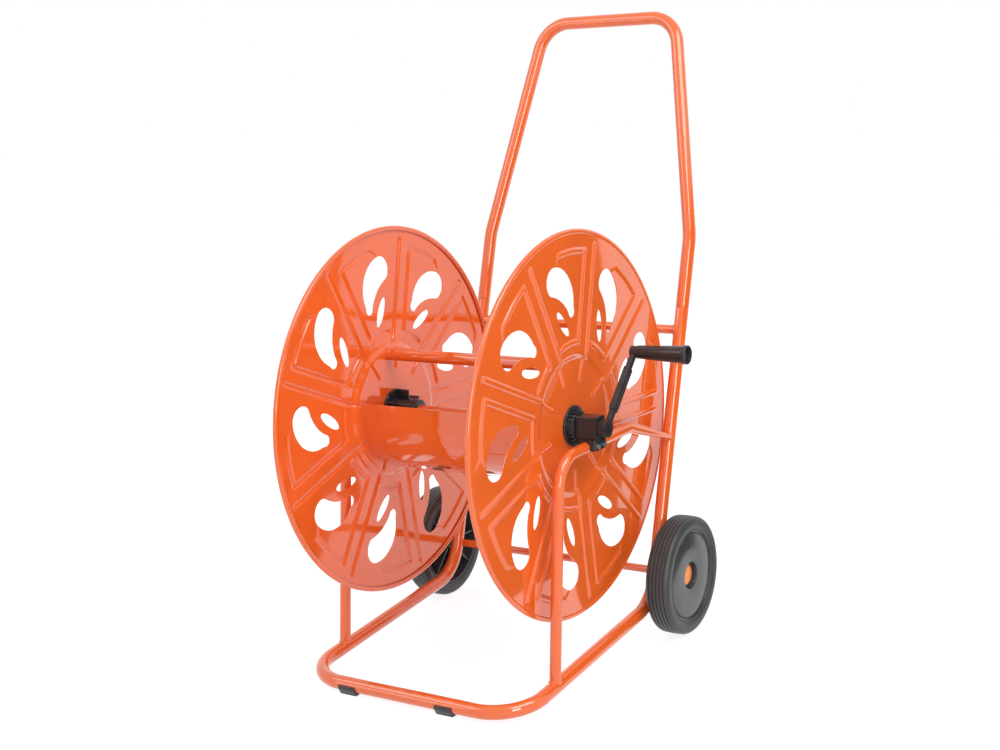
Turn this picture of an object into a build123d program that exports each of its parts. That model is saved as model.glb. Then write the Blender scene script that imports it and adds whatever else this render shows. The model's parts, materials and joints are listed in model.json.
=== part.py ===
from build123d import *
import os
from math import asin, cos, degrees, radians, sin, tan

# Garden hose reel cart, in millimetres: X across with the crank on +X, Y to the rear, Z up from the floor.
# The pieces are laid out from the point on the floor under the middle of the reel axis.

# Fits
weld_gap = 0.1
running_clearance = 0.06
push_clearance = 0.05
seat_gap = 0.3
root_depth = 1.0

# Frame tubes
frame_radius = 10.0
frame_wall = 1.5
frame_x = 178.0
foot_wall = 2.6
front_y = -218.0
rail_slope = 5.17
rail_bend_radius = 65.0
front_bend_radius = 66.0
corner_y = 165.3
upright_lean = 16.9
seam_height = 471.7

# Handle bow, measured along its leaning plane from the seam
spigot_length = 46.0
knee_rise = 109.0
knee_bend_radius = 110.0
handle_rise = 451.0
handle_top_x = 116.0
handle_bend_radius = 50.0

# Cross bar
cross_bar_radius = 7.0
cross_bar_wall = 1.2
cross_bar_drop = 33.5

# Reel position
reel_height = 353.0

# Legs
leg_radius = 8.0
leg_wall = 1.2
leg_foot_y = -122.0
leg_lean = 6.6
leg_drop = 25.5
leg_bend_radius = 46.0
leg_knee_y = 114.0
leg_knee_radius = 60.0
leg_end_height = 285.0
leg_end_width = 18.0
leg_end_thickness = 9.0

# Axle and wheels
axle_radius = 6.0
journal_radius = 5.0
axle_height = 88.0
wheel_inner_x = 196.5
wheel_width = 37.0
rim_radius = 69.0
rim_wall = 3.5
rim_edge = 1.5
wheel_web = 3.5
wheel_dish = 4.0
hub_radius = 13.0
wheel_recess_radius = 20.0
wheel_recess_depth = 9.0
wheel_rib_count = 8
wheel_rib_width = 2.6
tread_groove_count = 5
tread_groove_width = 2.6
tread_groove_depth = 2.2
tyre_shoulder = 7.0
washer_radius = 10.0
washer_thickness = 1.5
cap_radius = 16.0
cap_height = 3.0
cap_wall = 1.2

# Clip feet
foot_left_x = -94.0
foot_right_x = 67.0
foot_length = 27.0
foot_pad_width = 15.0
foot_mouth_angle = 163.0
foot_mouth_turn = 91.5

# Pressed discs
disc_radius = 270.0
disc_spacing = 312.0
disc_sheet = 1.2
curl_radius = 3.5
dish_radius = 90.0
dish_flank = 11.0
dish_depth = 5.0
sector_count = 9
right_phase = 17.0
left_phase = 42.5
rib_width = 10.0
rib_height = 2.4
rib_flank_angle = 45.0
spoke_half_gap = 12.6
long_rib_inner = 104.0
long_rib_outer = 250.0
outline_inner = 116.0
outline_outer = 240.0
inner_arc_span = 22.0
outer_arc_span = 17.0
dash_inner = 64.0
dash_outer = 88.0
dash_width = 8.0
dash_height = 2.0
dash_turn = 7.0

# Comma and leaf cut-outs, from the sector's middle line: across it, then out from the axis
comma_tip = (20.3, 149.5)
comma_tip_inner = (10.5, 158.5)
comma_hollow = (-3.0, 176.0)
comma_heel = (-31.5, 192.0)
comma_head = (-37.5, 211.0)
comma_crown = (-12.5, 227.5)
comma_back = (19.5, 208.0)
comma_tail = (26.5, 162.0)
leaf_centre = (-6.5, 147.0)
leaf_length = 46.0
leaf_width = 15.0
leaf_turn = 33.0

# Drum
spindle_radius = 9.5
spindle_wall = 1.5
spindle_depth = 25.0
tie_radius = 9.0
tie_wall = 1.2
tie_circle = 85.0
tie_angles = (96.0, 336.0)
trough_sheet = 1.5
trough_radius = 79.0
trough_middle = 216.0
trough_arc = 72.0
trough_strip = 26.0
trough_flare = 7.0

# Hubs
hub_hole_radius = 15.0
hub_flange_radius = 31.0
hub_flange_thickness = 4.0
hub_boss_radius = 17.5
hub_boss_length = 44.0
hub_fin_count = 6
hub_fin_width = 3.0
hub_fin_length = 22.0
outer_flange_radius = 28.5
outer_flange_thickness = 3.0
outer_crown_radius = 20.0
outer_crown_length = 7.4
outer_rib_count = 18
outer_rib_width = 2.8
outer_rib_height = 3.0
spigot_depth = 12.0
bearing_radius = 8.5
hub_screw_circle = 23.0
hub_screw_radius = 2.0
hub_screw_length = 6.5
hub_screw_count = 3
screw_head_radius = 3.6
screw_head_height = 2.4

# Bearing blocks
block_gap = 1.0
block_length = 31.5
block_width = 25.0
block_rise = 16.3
block_fillet = 3.0
saddle_length = 33.0
saddle_wall = 4.0
saddle_skirt = 4.0
saddle_screw_spacing = 17.0
saddle_screw_rise = 1.5
saddle_screw_length = 11.0

# Crank
crank_gap = 1.0
crank_hub_radius = 12.0
crank_hub_length = 12.0
drive_radius = 7.0
drive_flat = 5.5
drive_length = 6.5
arm_length = 126.6
arm_angle = 45.35
arm_width = 12.0
arm_thickness = 8.5
arm_root = 29.0
arm_neck = 28.0
arm_neck_width = 8.5
arm_neck_thickness = 6.5
arm_groove_depth = 1.5
arm_groove_width = 5.0
arm_boss_radius = 8.4
crank_screw_radius = 2.5
crank_screw_length = 9.0
crank_screw_head_radius = 5.0
crank_screw_head_height = 2.4
pin_radius = 4.0
pin_head_radius = 6.5
pin_head_height = 2.5
grip_length = 78.0
grip_root_radius = 9.2
grip_end_radius = 13.2
grip_lip = 6.0
grip_mouth_radius = 10.5
grip_mouth_depth = 9.0
grip_edge = 0.8

# Lines that the pieces share
panel_x = disc_spacing / 2
hub_zone_x = panel_x - dish_depth
hub_zone_inner = hub_zone_x - disc_sheet / 2
hub_zone_outer = hub_zone_x + disc_sheet / 2
front_height = frame_radius + foot_wall
corner_height = front_height + (corner_y - front_y) * tan(radians(rail_slope))
seam_y = corner_y + (seam_height - corner_height) * tan(radians(upright_lean))
lean_up = Vector(0, sin(radians(upright_lean)), cos(radians(upright_lean)))
lean_back = Vector(0, cos(radians(upright_lean)), -sin(radians(upright_lean)))
leg_top = reel_height - leg_drop
saddle_screw_height = leg_top + saddle_screw_rise
axle_y = (
    corner_y
    + (axle_height - corner_height) * tan(radians(upright_lean))
    + (frame_radius + axle_radius) / cos(radians(upright_lean))
)
wheel_radius = axle_height
wheel_outer_x = wheel_inner_x + wheel_width
recess_x = wheel_outer_x - wheel_dish - wheel_recess_depth
axle_end_x = recess_x + seat_gap + cap_height - cap_wall
crown_x = hub_zone_outer + outer_flange_thickness + outer_crown_length
block_x = crown_x + block_gap
block_end_x = block_x + block_length
crank_x = block_end_x + crank_gap
crank_end_x = crank_x + crank_hub_length
crank_screw_x = crank_end_x - crank_screw_head_height - seat_gap
arm_x = crank_end_x - arm_thickness
grip_x = crank_end_x + seat_gap
grip_end_x = grip_x + grip_length
pin_y = arm_length * cos(radians(arm_angle))
pin_z = reel_height + arm_length * sin(radians(arm_angle))


def upright_point(height, side):
    """The upright's centre line at a height, on one side."""
    y = corner_y + (height - corner_height) * tan(radians(upright_lean))
    return Vector(side * frame_x, y, height)


def rail_height(y):
    """The height of a rail's centre line."""
    return front_height + (y - front_y) * tan(radians(rail_slope))


def rod(start, end, radius):
    """A solid round bar between two points."""
    start, end = Vector(start), Vector(end)
    return extrude(Plane(origin=start, z_dir=end - start) * Circle(radius), (end - start).length)


def round_tube(path, radius, wall):
    """A round tube along a path of lines and arcs."""
    ring = Plane(origin=path @ 0, z_dir=path % 0) * (Circle(radius) - Circle(radius - wall))
    return sweep(ring, path=path)


def across(x, radius, length):
    """A cylinder along X from x, centred on the reel axis."""
    return rod((x, 0, reel_height), (x + length, 0, reel_height), radius)


def turned(profile):
    """A profile of (x, radius) points turned about X."""
    outline = Plane.XZ * make_face(Polyline(*profile, close=True))
    return revolve(outline, Axis.X)


def on_axle(solid):
    """Moves a solid turned about X to the axle's line."""
    return Pos(0, axle_y, axle_height) * solid


def on_reel(solid):
    """Moves a solid turned about X to the reel's axis."""
    return Pos(0, 0, reel_height) * solid


def opposite(solid):
    """The same piece on the other side, turned half round about Z."""
    return Rot(0, 0, 180) * solid


def mirrored(solid):
    """The mirror image on the other side."""
    return mirror(solid, Plane.YZ)


def base_frame():
    """One bent tube: upright, rail, front bar, rail and upright."""
    corners = []
    for side in (-1, 1):
        corners.append([
            upright_point(seam_height, side),
            Vector(side * frame_x, corner_y, corner_height),
            Vector(side * frame_x, front_y, front_height),
        ])
    points = corners[0] + corners[1][::-1]
    radii = (rail_bend_radius, front_bend_radius, front_bend_radius, rail_bend_radius)
    return round_tube(FilletPolyline(*points, radius=radii), frame_radius, frame_wall)


def handle_bow():
    """The upper bow, with a necked spigot that plugs into each upright."""
    plane = Plane(origin=(0, seam_y, seam_height), x_dir=(1, 0, 0), z_dir=-lean_back)
    half = [(frame_x, 0), (frame_x, knee_rise), (handle_top_x, handle_rise)]
    points = [(-x, y) for x, y in half] + half[::-1]
    radii = (knee_bend_radius, handle_bend_radius, handle_bend_radius, knee_bend_radius)
    bow = round_tube(plane * FilletPolyline(*points, radius=radii), frame_radius, frame_wall)
    spigot_radius = frame_radius - frame_wall - push_clearance
    for side in (-1, 1):
        seam = upright_point(seam_height, side)
        shoulder = seam + lean_up * (2 * frame_wall)
        tip = seam - lean_up * spigot_length
        neck = rod(tip, seam, spigot_radius) + rod(seam, shoulder, frame_radius)
        bow += neck - rod(tip, shoulder, spigot_radius - frame_wall)
    return bow


def cross_bar():
    """A thin tube between the uprights, with coped ends."""
    centre = Vector(0, seam_y, seam_height) - lean_up * cross_bar_drop
    ends = [centre + Vector(side * frame_x, 0, 0) for side in (-1, 1)]
    bar = rod(*ends, cross_bar_radius) - rod(*ends, cross_bar_radius - cross_bar_wall)
    for end in ends:
        reach = lean_up * (4 * frame_radius)
        bar -= rod(end - reach, end + reach, frame_radius + weld_gap)
    return bar.solids().sort_by(SortBy.VOLUME)[-1]


def leg(side):
    """A thinner tube from the rail, under the reel axis, to a flattened end on the upright."""
    x = side * frame_x
    foot = Vector(x, leg_foot_y, rail_height(leg_foot_y))
    bend = Vector(x, leg_foot_y + (leg_top - foot.Z) * tan(radians(leg_lean)), leg_top)
    knee = Vector(x, leg_knee_y, leg_top)
    end = upright_point(leg_end_height, side)
    fall = (end - knee).normalized()
    turn = radians(Vector(0, 1, 0).get_angle(fall))
    flat_start = knee + fall * (leg_knee_radius * tan(turn / 2))
    round_end = flat_start + fall * leg_radius
    path = FilletPolyline(foot, bend, knee, round_end, radius=(leg_bend_radius, leg_knee_radius))
    tube = round_tube(path, leg_radius, leg_wall)
    start_plane = Plane(origin=round_end, x_dir=(1, 0, 0), z_dir=fall)
    end_plane = Plane(origin=end, x_dir=(1, 0, 0), z_dir=fall)
    outer_ellipse = Ellipse(leg_end_width / 2, leg_end_thickness / 2)
    outer = loft([start_plane * Circle(leg_radius), end_plane * outer_ellipse])
    inner_ellipse = Ellipse(leg_end_width / 2 - leg_wall, leg_end_thickness / 2 - leg_wall)
    inner = loft([start_plane * Circle(leg_radius - leg_wall), end_plane * inner_ellipse])
    tube += outer - inner
    reach = 4 * frame_radius
    rail_ends = [Vector(x, y, rail_height(y)) for y in (leg_foot_y - reach, leg_foot_y + reach)]
    tube -= rod(*rail_ends, frame_radius + weld_gap)
    tube -= rod(end - lean_up * reach, end + lean_up * reach, frame_radius + weld_gap)
    tube = tube.solids().sort_by(SortBy.VOLUME)[-1]
    for screw_y in (-saddle_screw_spacing / 2, saddle_screw_spacing / 2):
        start = Vector(x, screw_y, saddle_screw_height)
        tube -= rod(start, start + Vector(side * 2 * leg_radius, 0, 0), hub_screw_radius + push_clearance)
    return tube


def axle():
    """A round bar behind the uprights, with a shouldered journal at each end."""
    shoulder = wheel_inner_x - washer_thickness - seat_gap
    profile = [
        (-axle_end_x, 0), (-axle_end_x, journal_radius), (-shoulder, journal_radius),
        (-shoulder, axle_radius), (shoulder, axle_radius), (shoulder, journal_radius),
        (axle_end_x, journal_radius), (axle_end_x, 0),
    ]
    bar = on_axle(turned(profile))
    for side in (-1, 1):
        foot = upright_point(corner_height, side)
        bar -= rod(foot, upright_point(seam_height, side), frame_radius + weld_gap)
    return bar


def axle_washers():
    """A flat washer between each shoulder and its wheel."""
    washers = []
    start = wheel_inner_x - washer_thickness - seat_gap
    for side in (-1, 1):
        ring = turned([
            (side * start, journal_radius + push_clearance), (side * start, washer_radius),
            (side * (start + washer_thickness), washer_radius),
            (side * (start + washer_thickness), journal_radius + push_clearance),
        ])
        washers.append(on_axle(ring))
    return Compound(washers)


def axle_cap():
    """A push-on cap on the axle's end, in the recess of the wheel."""
    start = recess_x + seat_gap
    profile = [
        (start, journal_radius + push_clearance), (start, cap_radius),
        (start + cap_height - cap_wall, cap_radius), (start + cap_height, cap_radius - 2 * cap_wall),
        (start + cap_height, 0), (axle_end_x, 0), (axle_end_x, journal_radius + push_clearance),
    ]
    return on_axle(turned(profile))


def wheel_centre():
    """The moulded wheel: rim ring, dished web, hub tube and ribs on the inner side."""
    rim_inner = rim_radius - rim_wall
    web_x = wheel_outer_x - wheel_dish
    recess_outer = wheel_recess_radius + wheel_web
    bore = journal_radius + running_clearance
    profile = [
        (wheel_inner_x, bore), (wheel_inner_x, hub_radius), (recess_x - wheel_web, hub_radius),
        (recess_x - wheel_web, recess_outer), (web_x - wheel_web, recess_outer),
        (web_x - wheel_web, rim_inner), (wheel_inner_x + rim_edge, rim_inner),
        (wheel_inner_x + rim_edge, rim_radius), (wheel_outer_x - rim_edge, rim_radius),
        (wheel_outer_x - rim_edge, rim_inner + rim_edge), (web_x, rim_inner - rim_edge),
        (web_x, wheel_recess_radius), (recess_x, wheel_recess_radius), (recess_x, bore),
    ]
    centre = turned(profile)
    rib_length = rim_inner - hub_radius + 2 * rim_edge
    rib_start = wheel_inner_x + 3 * rim_edge
    rib_end = recess_x - wheel_web / 2
    rib = Pos((rib_start + rib_end) / 2, 0, hub_radius - rim_edge + rib_length / 2)
    rib = rib * Box(rib_end - rib_start, wheel_rib_width, rib_length)
    for index in range(wheel_rib_count):
        centre += Rot(360 * index / wheel_rib_count, 0, 0) * rib
    return on_axle(centre)


def tyre():
    """A solid tyre with rounded shoulders and grooves round its tread."""
    middle = (wheel_inner_x + wheel_outer_x) / 2
    inner = rim_radius + push_clearance
    height = wheel_radius - inner
    section = Pos(middle, inner + height / 2) * Rectangle(wheel_width, height)
    outer_corners = section.vertices().sort_by(Axis.Y)[-2:]
    section = fillet(outer_corners, tyre_shoulder)
    pitch = (wheel_width - 2 * tyre_shoulder) / (tread_groove_count - 1)
    for index in range(tread_groove_count):
        x = wheel_inner_x + tyre_shoulder + index * pitch
        section -= Pos(x, wheel_radius) * Rectangle(tread_groove_width, 2 * tread_groove_depth)
    return on_axle(revolve(Plane.XZ * section, Axis.X))


def foot(x):
    """A clip that grips the front bar, with a flat pad under it."""
    outer = frame_radius + foot_wall
    clip = Circle(outer) + Pos(0, -outer + foot_wall) * Rectangle(foot_pad_width, 2 * foot_wall)
    mouth = 3 * outer
    half = radians(foot_mouth_angle / 2)
    wedge = make_face(Polyline((0, 0), (mouth, -mouth * tan(half)), (mouth, mouth * tan(half)), close=True))
    clip -= Circle(frame_radius)
    clip -= Rot(0, 0, foot_mouth_turn) * wedge
    clip = clip.faces().sort_by(SortBy.AREA)[-1]
    floor_cut = Pos(0, -outer - mouth / 2) * Rectangle(2 * mouth, mouth)
    section = Plane.YZ * (Sketch() + clip - floor_cut)
    return Pos(x - foot_length / 2, front_y, front_height) * extrude(section, foot_length)


def sector_point(across_mid, out):
    """A point of a sector whose middle line lies along the sketch's first axis."""
    return (out, -across_mid)


def comma_outline():
    """The big cut-out: a round head, a hollow side and a narrow rounded tail."""
    inner = (comma_tip, comma_tip_inner, comma_hollow, comma_heel)
    outer = (comma_head, comma_crown, comma_back, comma_tail)
    tip, tip_inner, hollow, heel = (sector_point(*place) for place in inner)
    head, crown, back, tail = (sector_point(*place) for place in outer)
    outline = [
        ThreePointArc(tail, tip, tip_inner),
        ThreePointArc(tip_inner, hollow, heel),
        ThreePointArc(heel, head, crown),
        ThreePointArc(crown, back, tail),
    ]
    return make_face(outline)


def leaf_outline():
    """The small cut-out beside the comma's hollow side."""
    leaf = Rot(0, 0, leaf_turn) * Ellipse(leaf_length / 2, leaf_width / 2)
    return Pos(*sector_point(*leaf_centre)) * leaf


def straight_rib(start, end, offset, angle, width, x, height):
    """A pressed line beside a spoke, with sloping flanks, standing on the plane at x."""
    outline = Rot(0, 0, angle) * Pos((start + end) / 2, offset) * Rectangle(end - start, width)
    return extrude(Plane.YZ.offset(x) * outline, height, taper=rib_flank_angle)


def arc_rib(radius, start, span, width, x, height):
    """A pressed line along an arc round the axis, with sloping flanks."""
    flank = height * tan(radians(rib_flank_angle))
    section = make_face(Polyline(
        (x, radius - width / 2), (x, radius + width / 2),
        (x + height, radius + width / 2 - flank), (x + height, radius - width / 2 + flank), close=True,
    ))
    return Rot(start - 90, 0, 0) * revolve(Plane.XZ * section, Axis.X, revolution_arc=span)


def sector_ribs(width, x, height):
    """The pressed lines of one sector: a long rib, and the bracket along its other side."""
    half_angle = 180 / sector_count
    ribs = [
        straight_rib(long_rib_inner, long_rib_outer, -spoke_half_gap, half_angle, width, x, height),
        straight_rib(outline_inner, outline_outer, spoke_half_gap, -half_angle, width, x, height),
    ]
    for radius, span in ((outline_inner, inner_arc_span), (outline_outer, outer_arc_span)):
        start = degrees(asin(spoke_half_gap / radius)) - half_angle
        ribs.append(arc_rib(radius, start, span, width, x, height))
    return ribs


def hub_dash(width, x):
    """The end of a long rib in the hub zone."""
    angle = 180 / sector_count - dash_turn
    return straight_rib(dash_inner, dash_outer, 0, angle, width, x, dash_height)


def around(solids):
    """Copies of one sector's solids round the axis."""
    copies = []
    for index in range(sector_count):
        turn = Rot(360 * index / sector_count, 0, 0)
        copies.extend(turn * solid for solid in solids)
    return copies


def disc():
    """A pressed flange: curled rim, flat sectors with ribs and cut-outs, and a dished hub zone."""
    half = disc_sheet / 2
    flat_start = dish_radius + dish_flank
    curl_circle = disc_radius - curl_radius
    curl_x = panel_x + half - curl_radius
    section = make_face(Polyline(
        (hub_zone_inner, hub_hole_radius), (hub_zone_outer, hub_hole_radius), (hub_zone_outer, dish_radius),
        (panel_x + half, flat_start), (panel_x + half, curl_circle), (panel_x - half, curl_circle),
        (panel_x - half, flat_start), (hub_zone_inner, dish_radius), close=True,
    ))
    opening = Pos(curl_radius / 2, -curl_radius / 2) * Rectangle(curl_radius, curl_radius)
    curl = Circle(curl_radius) - Circle(curl_radius - disc_sheet) - opening
    section = section + Pos(curl_x, curl_circle) * curl
    sheet = revolve(Plane.XZ * section, Axis.X)
    raised = sector_ribs(rib_width, panel_x + half, rib_height)
    sunk = sector_ribs(rib_width - disc_sheet, panel_x - half, rib_height)
    raised.append(hub_dash(dash_width, hub_zone_outer))
    sunk.append(hub_dash(dash_width - disc_sheet, hub_zone_inner))
    holes = []
    for outline in (comma_outline(), leaf_outline()):
        holes.append(extrude(Plane.YZ.offset(panel_x - curl_radius) * outline, 2 * curl_radius))
    sheet += around(raised)
    sheet -= around(sunk + holes)
    return sheet


def screwed_disc(phase):
    """The flange turned to its place, with the hub screws' holes."""
    sheet = Rot(phase, 0, 0) * disc()
    for place in hub_screw_places():
        sheet -= place * hub_screw_hole(hub_zone_inner - root_depth, hub_zone_outer + root_depth)
    return on_reel(sheet)


def trough():
    """The curved sheet of the drum, with a flared strip along both edges."""
    half = trough_arc / 2
    strip = radians(90 + half - trough_flare)
    normal = strip + radians(90)
    inner_radius = trough_radius - trough_sheet
    bend = Vector(trough_radius * cos(radians(half)), trough_radius * sin(radians(half)))
    edge = bend + Vector(cos(strip), sin(strip)) * trough_strip
    inner_bend = Vector(inner_radius * cos(radians(half)), inner_radius * sin(radians(half)))
    inner_edge = edge + Vector(cos(normal), sin(normal)) * trough_sheet
    outline = [
        ThreePointArc((bend.X, -bend.Y), (trough_radius, 0), bend),
        Polyline(bend, edge, inner_edge, inner_bend),
        ThreePointArc(inner_bend, (inner_radius, 0), (inner_bend.X, -inner_bend.Y)),
        Polyline(
            (inner_bend.X, -inner_bend.Y), (inner_edge.X, -inner_edge.Y), (edge.X, -edge.Y), (bend.X, -bend.Y)
        ),
    ]
    sheet = extrude(Plane.YZ.offset(-hub_zone_inner) * make_face(outline), 2 * hub_zone_inner)
    return on_reel(Rot(trough_middle, 0, 0) * sheet)


def tie_tube(angle):
    """A straight tube between the discs."""
    y = tie_circle * cos(radians(angle))
    z = reel_height + tie_circle * sin(radians(angle))
    ends = ((-hub_zone_inner, y, z), (hub_zone_inner, y, z))
    return rod(*ends, tie_radius) - rod(*ends, tie_radius - tie_wall)


def spindle():
    """The tube on the reel's axis, held in the two inner hubs."""
    end = hub_zone_inner - hub_boss_length + spindle_depth - seat_gap
    ends = ((-end, 0, reel_height), (end, 0, reel_height))
    return rod(*ends, spindle_radius) - rod(*ends, spindle_radius - spindle_wall)


def hub_screw_places():
    """The turns of the hub screws, halfway between fins."""
    half_pitch = 180 / hub_fin_count
    return [Rot(half_pitch + 360 * index / hub_screw_count, 0, 0) for index in range(hub_screw_count)]


def hub_screw_hole(start, end):
    """The hole of one hub screw, before it is turned to its place."""
    hole = Pos((start + end) / 2, 0, hub_screw_circle) * Rot(0, 90, 0)
    return hole * Cylinder(hub_screw_radius + push_clearance, end - start)


def hub_inner():
    """The finned hub inside the drum, which holds the spindle."""
    start = hub_zone_inner - hub_boss_length
    flange_x = hub_zone_inner - hub_flange_thickness
    bore = spindle_radius + push_clearance
    spigot_x = hub_zone_inner - spigot_depth
    hub = turned([
        (start, bore), (start, hub_boss_radius), (flange_x, hub_boss_radius),
        (flange_x, hub_flange_radius), (hub_zone_inner, hub_flange_radius),
        (hub_zone_inner, hub_hole_radius), (spigot_x, hub_hole_radius), (spigot_x, 0),
        (start + spindle_depth, 0), (start + spindle_depth, bore),
    ])
    fin_height = hub_flange_radius - hub_boss_radius + root_depth
    fin = Pos(flange_x - hub_fin_length / 2 + root_depth / 2, 0, hub_flange_radius - fin_height / 2)
    fin = fin * Box(hub_fin_length + root_depth, hub_fin_width, fin_height)
    for index in range(hub_fin_count):
        hub += Rot(360 * index / hub_fin_count, 0, 0) * fin
    for place in hub_screw_places():
        hub -= place * hub_screw_hole(flange_x - root_depth, hub_zone_inner + root_depth)
    return on_reel(hub)


def hub_outer(journal_end):
    """The hub half outside a disc: a spigot through the disc, a flange, a ribbed crown and the journal."""
    spigot_radius = hub_hole_radius - push_clearance
    spigot_x = hub_zone_inner - spigot_depth + seat_gap
    flange_x = hub_zone_outer + outer_flange_thickness
    hub = turned([
        (spigot_x, 0), (spigot_x, spigot_radius), (hub_zone_outer, spigot_radius),
        (hub_zone_outer, outer_flange_radius), (flange_x, outer_flange_radius),
        (flange_x, outer_crown_radius), (crown_x, outer_crown_radius), (crown_x, bearing_radius),
        (journal_end, bearing_radius), (journal_end, 0),
    ])
    rib_length = outer_crown_length + root_depth
    rib_height = outer_rib_height + root_depth
    rib = Pos(crown_x - rib_length / 2, 0, outer_crown_radius - root_depth + rib_height / 2)
    rib = rib * Box(rib_length, outer_rib_width, rib_height)
    for index in range(outer_rib_count):
        hub += Rot(360 * index / outer_rib_count, 0, 0) * rib
    hole_end = hub_zone_inner - hub_flange_thickness + hub_screw_length + seat_gap
    for place in hub_screw_places():
        hub -= place * hub_screw_hole(hub_zone_inner, hole_end)
    return on_reel(hub)


def hub_outer_right():
    """The crank side's outer hub, with a flatted drive end for the crank."""
    hub = hub_outer(crank_x)
    hub += across(crank_x, drive_radius, drive_length) & drive_slab(drive_flat)
    hole = crank_screw_x - crank_screw_length - seat_gap
    return hub - across(hole, crank_screw_radius + push_clearance, crank_hub_length)


def drive_slab(half):
    """The slab between the two flats of the drive end."""
    return Pos(crank_x, 0, reel_height) * Box(4 * crank_hub_length, 4 * drive_radius, 2 * half)


def hub_outer_left():
    """The far side's outer hub, with a plain journal."""
    return opposite(hub_outer(block_end_x + crank_gap))


def hub_screws():
    """The screws that pull each pair of hub halves together through the disc."""
    flange_x = hub_zone_inner - hub_flange_thickness
    start = Vector(flange_x - screw_head_height, 0, hub_screw_circle)
    neck = Vector(flange_x, 0, hub_screw_circle)
    tip = Vector(flange_x + hub_screw_length, 0, hub_screw_circle)
    screw = rod(start, neck, screw_head_radius) + rod(start, tip, hub_screw_radius)
    right = [on_reel(place * screw) for place in hub_screw_places()]
    return Compound(right + [opposite(one) for one in right])


def saddle_screw_lines(start, end):
    """The end points of the saddle screws on the crank side."""
    lines = []
    for y in (-saddle_screw_spacing / 2, saddle_screw_spacing / 2):
        lines.append((Vector(start, y, saddle_screw_height), Vector(end, y, saddle_screw_height)))
    return lines


def bearing_block():
    """The block on the leg: a box with the journal's bore, over a saddle that straddles the tube."""
    top = reel_height + block_rise
    bottom = leg_top + leg_radius
    box = Pos((block_x + block_end_x) / 2, 0, (top + bottom) / 2)
    box = box * Box(block_length, block_width, top - bottom)
    box = fillet(box.edges().filter_by(Axis.X).group_by(Axis.Z)[-1], block_fillet)
    saddle_x = frame_x - leg_radius - saddle_wall
    saddle_bottom = leg_top - saddle_skirt
    saddle_top = bottom + block_fillet
    saddle = Pos((saddle_x + block_end_x) / 2, 0, (saddle_top + saddle_bottom) / 2)
    saddle = saddle * Box(block_end_x - saddle_x, saddle_length, saddle_top - saddle_bottom)
    saddle = fillet(saddle.edges().filter_by(Axis.Z), block_fillet)
    block = box + saddle
    grip_radius = leg_radius + push_clearance
    block -= rod((frame_x, -saddle_length, leg_top), (frame_x, saddle_length, leg_top), grip_radius)
    channel = Box(2 * grip_radius, 2 * saddle_length, 2 * saddle_skirt)
    block -= Pos(frame_x, 0, leg_top - saddle_skirt) * channel
    block -= across(block_x - root_depth, bearing_radius + running_clearance, block_length + 2 * root_depth)
    for line in saddle_screw_lines(frame_x, block_end_x + root_depth):
        block -= rod(*line, hub_screw_radius + push_clearance)
    return block


def saddle_screws():
    """Two screws in each block's outer lip, into the leg."""
    right = []
    for line in saddle_screw_lines(block_end_x, block_end_x + screw_head_height):
        right.append(rod(*line, screw_head_radius))
    for index, line in enumerate(saddle_screw_lines(block_end_x - saddle_screw_length, block_end_x)):
        right[index] += rod(*line, hub_screw_radius)
    return Compound(right + [opposite(one) for one in right])


def arm_run(start, end, width, thickness):
    """A straight run of the crank's arm, along the sketch's first axis and centred in the arm's thickness."""
    outline = Pos((start + end) / 2, 0) * Rectangle(end - start, width)
    return extrude(Plane.YZ.offset(arm_x + (arm_thickness - thickness) / 2) * outline, thickness)


def crank_arm():
    """The crank: a hub on the drive end, an arm with a groove and a neck at both ends, and a boss."""
    neck_start = arm_length - arm_neck
    bar = arm_run(0, arm_length, arm_neck_width, arm_neck_thickness)
    bar += arm_run(arm_root, neck_start, arm_width, arm_thickness)
    bar += extrude(Plane.YZ.offset(arm_x) * Pos(arm_length, 0) * Circle(arm_boss_radius), arm_thickness)
    groove_length = neck_start - arm_root - 2 * arm_groove_width
    groove = Pos((arm_root + neck_start) / 2, 0) * SlotOverall(groove_length, arm_groove_width)
    bar -= extrude(Plane.YZ.offset(crank_end_x - arm_groove_depth) * groove, arm_thickness)
    pin_hole = Pos(arm_length, 0) * Circle(pin_radius + push_clearance)
    bar -= extrude(Plane.YZ.offset(arm_x - root_depth) * pin_hole, arm_thickness + 2 * root_depth)
    crank = on_reel(Rot(arm_angle, 0, 0) * bar)
    crank += across(crank_x, crank_hub_radius, crank_hub_length)
    socket = across(crank_x - root_depth, drive_radius + push_clearance, drive_length + root_depth + seat_gap)
    crank -= socket & drive_slab(drive_flat + push_clearance)
    crank -= across(crank_screw_x, crank_screw_head_radius + seat_gap, crank_hub_length)
    return crank - across(crank_x, crank_screw_radius + push_clearance, crank_hub_length)


def crank_screw():
    """The screw that holds the crank on its drive end, with its head sunk into the hub."""
    head = across(crank_screw_x, crank_screw_head_radius, crank_screw_head_height)
    return head + across(crank_screw_x - crank_screw_length, crank_screw_radius, crank_screw_length)


def on_pin(solid):
    """Moves a solid turned about X to the grip's axis."""
    return Pos(0, pin_y, pin_z) * solid


def grip_pin():
    """The headed pin that the grip turns on."""
    head_x = grip_end_x - grip_mouth_depth + seat_gap
    return on_pin(turned([
        (arm_x, 0), (arm_x, pin_radius), (head_x, pin_radius), (head_x, pin_head_radius),
        (head_x + pin_head_height, pin_head_radius), (head_x + pin_head_height, 0),
    ]))


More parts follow.
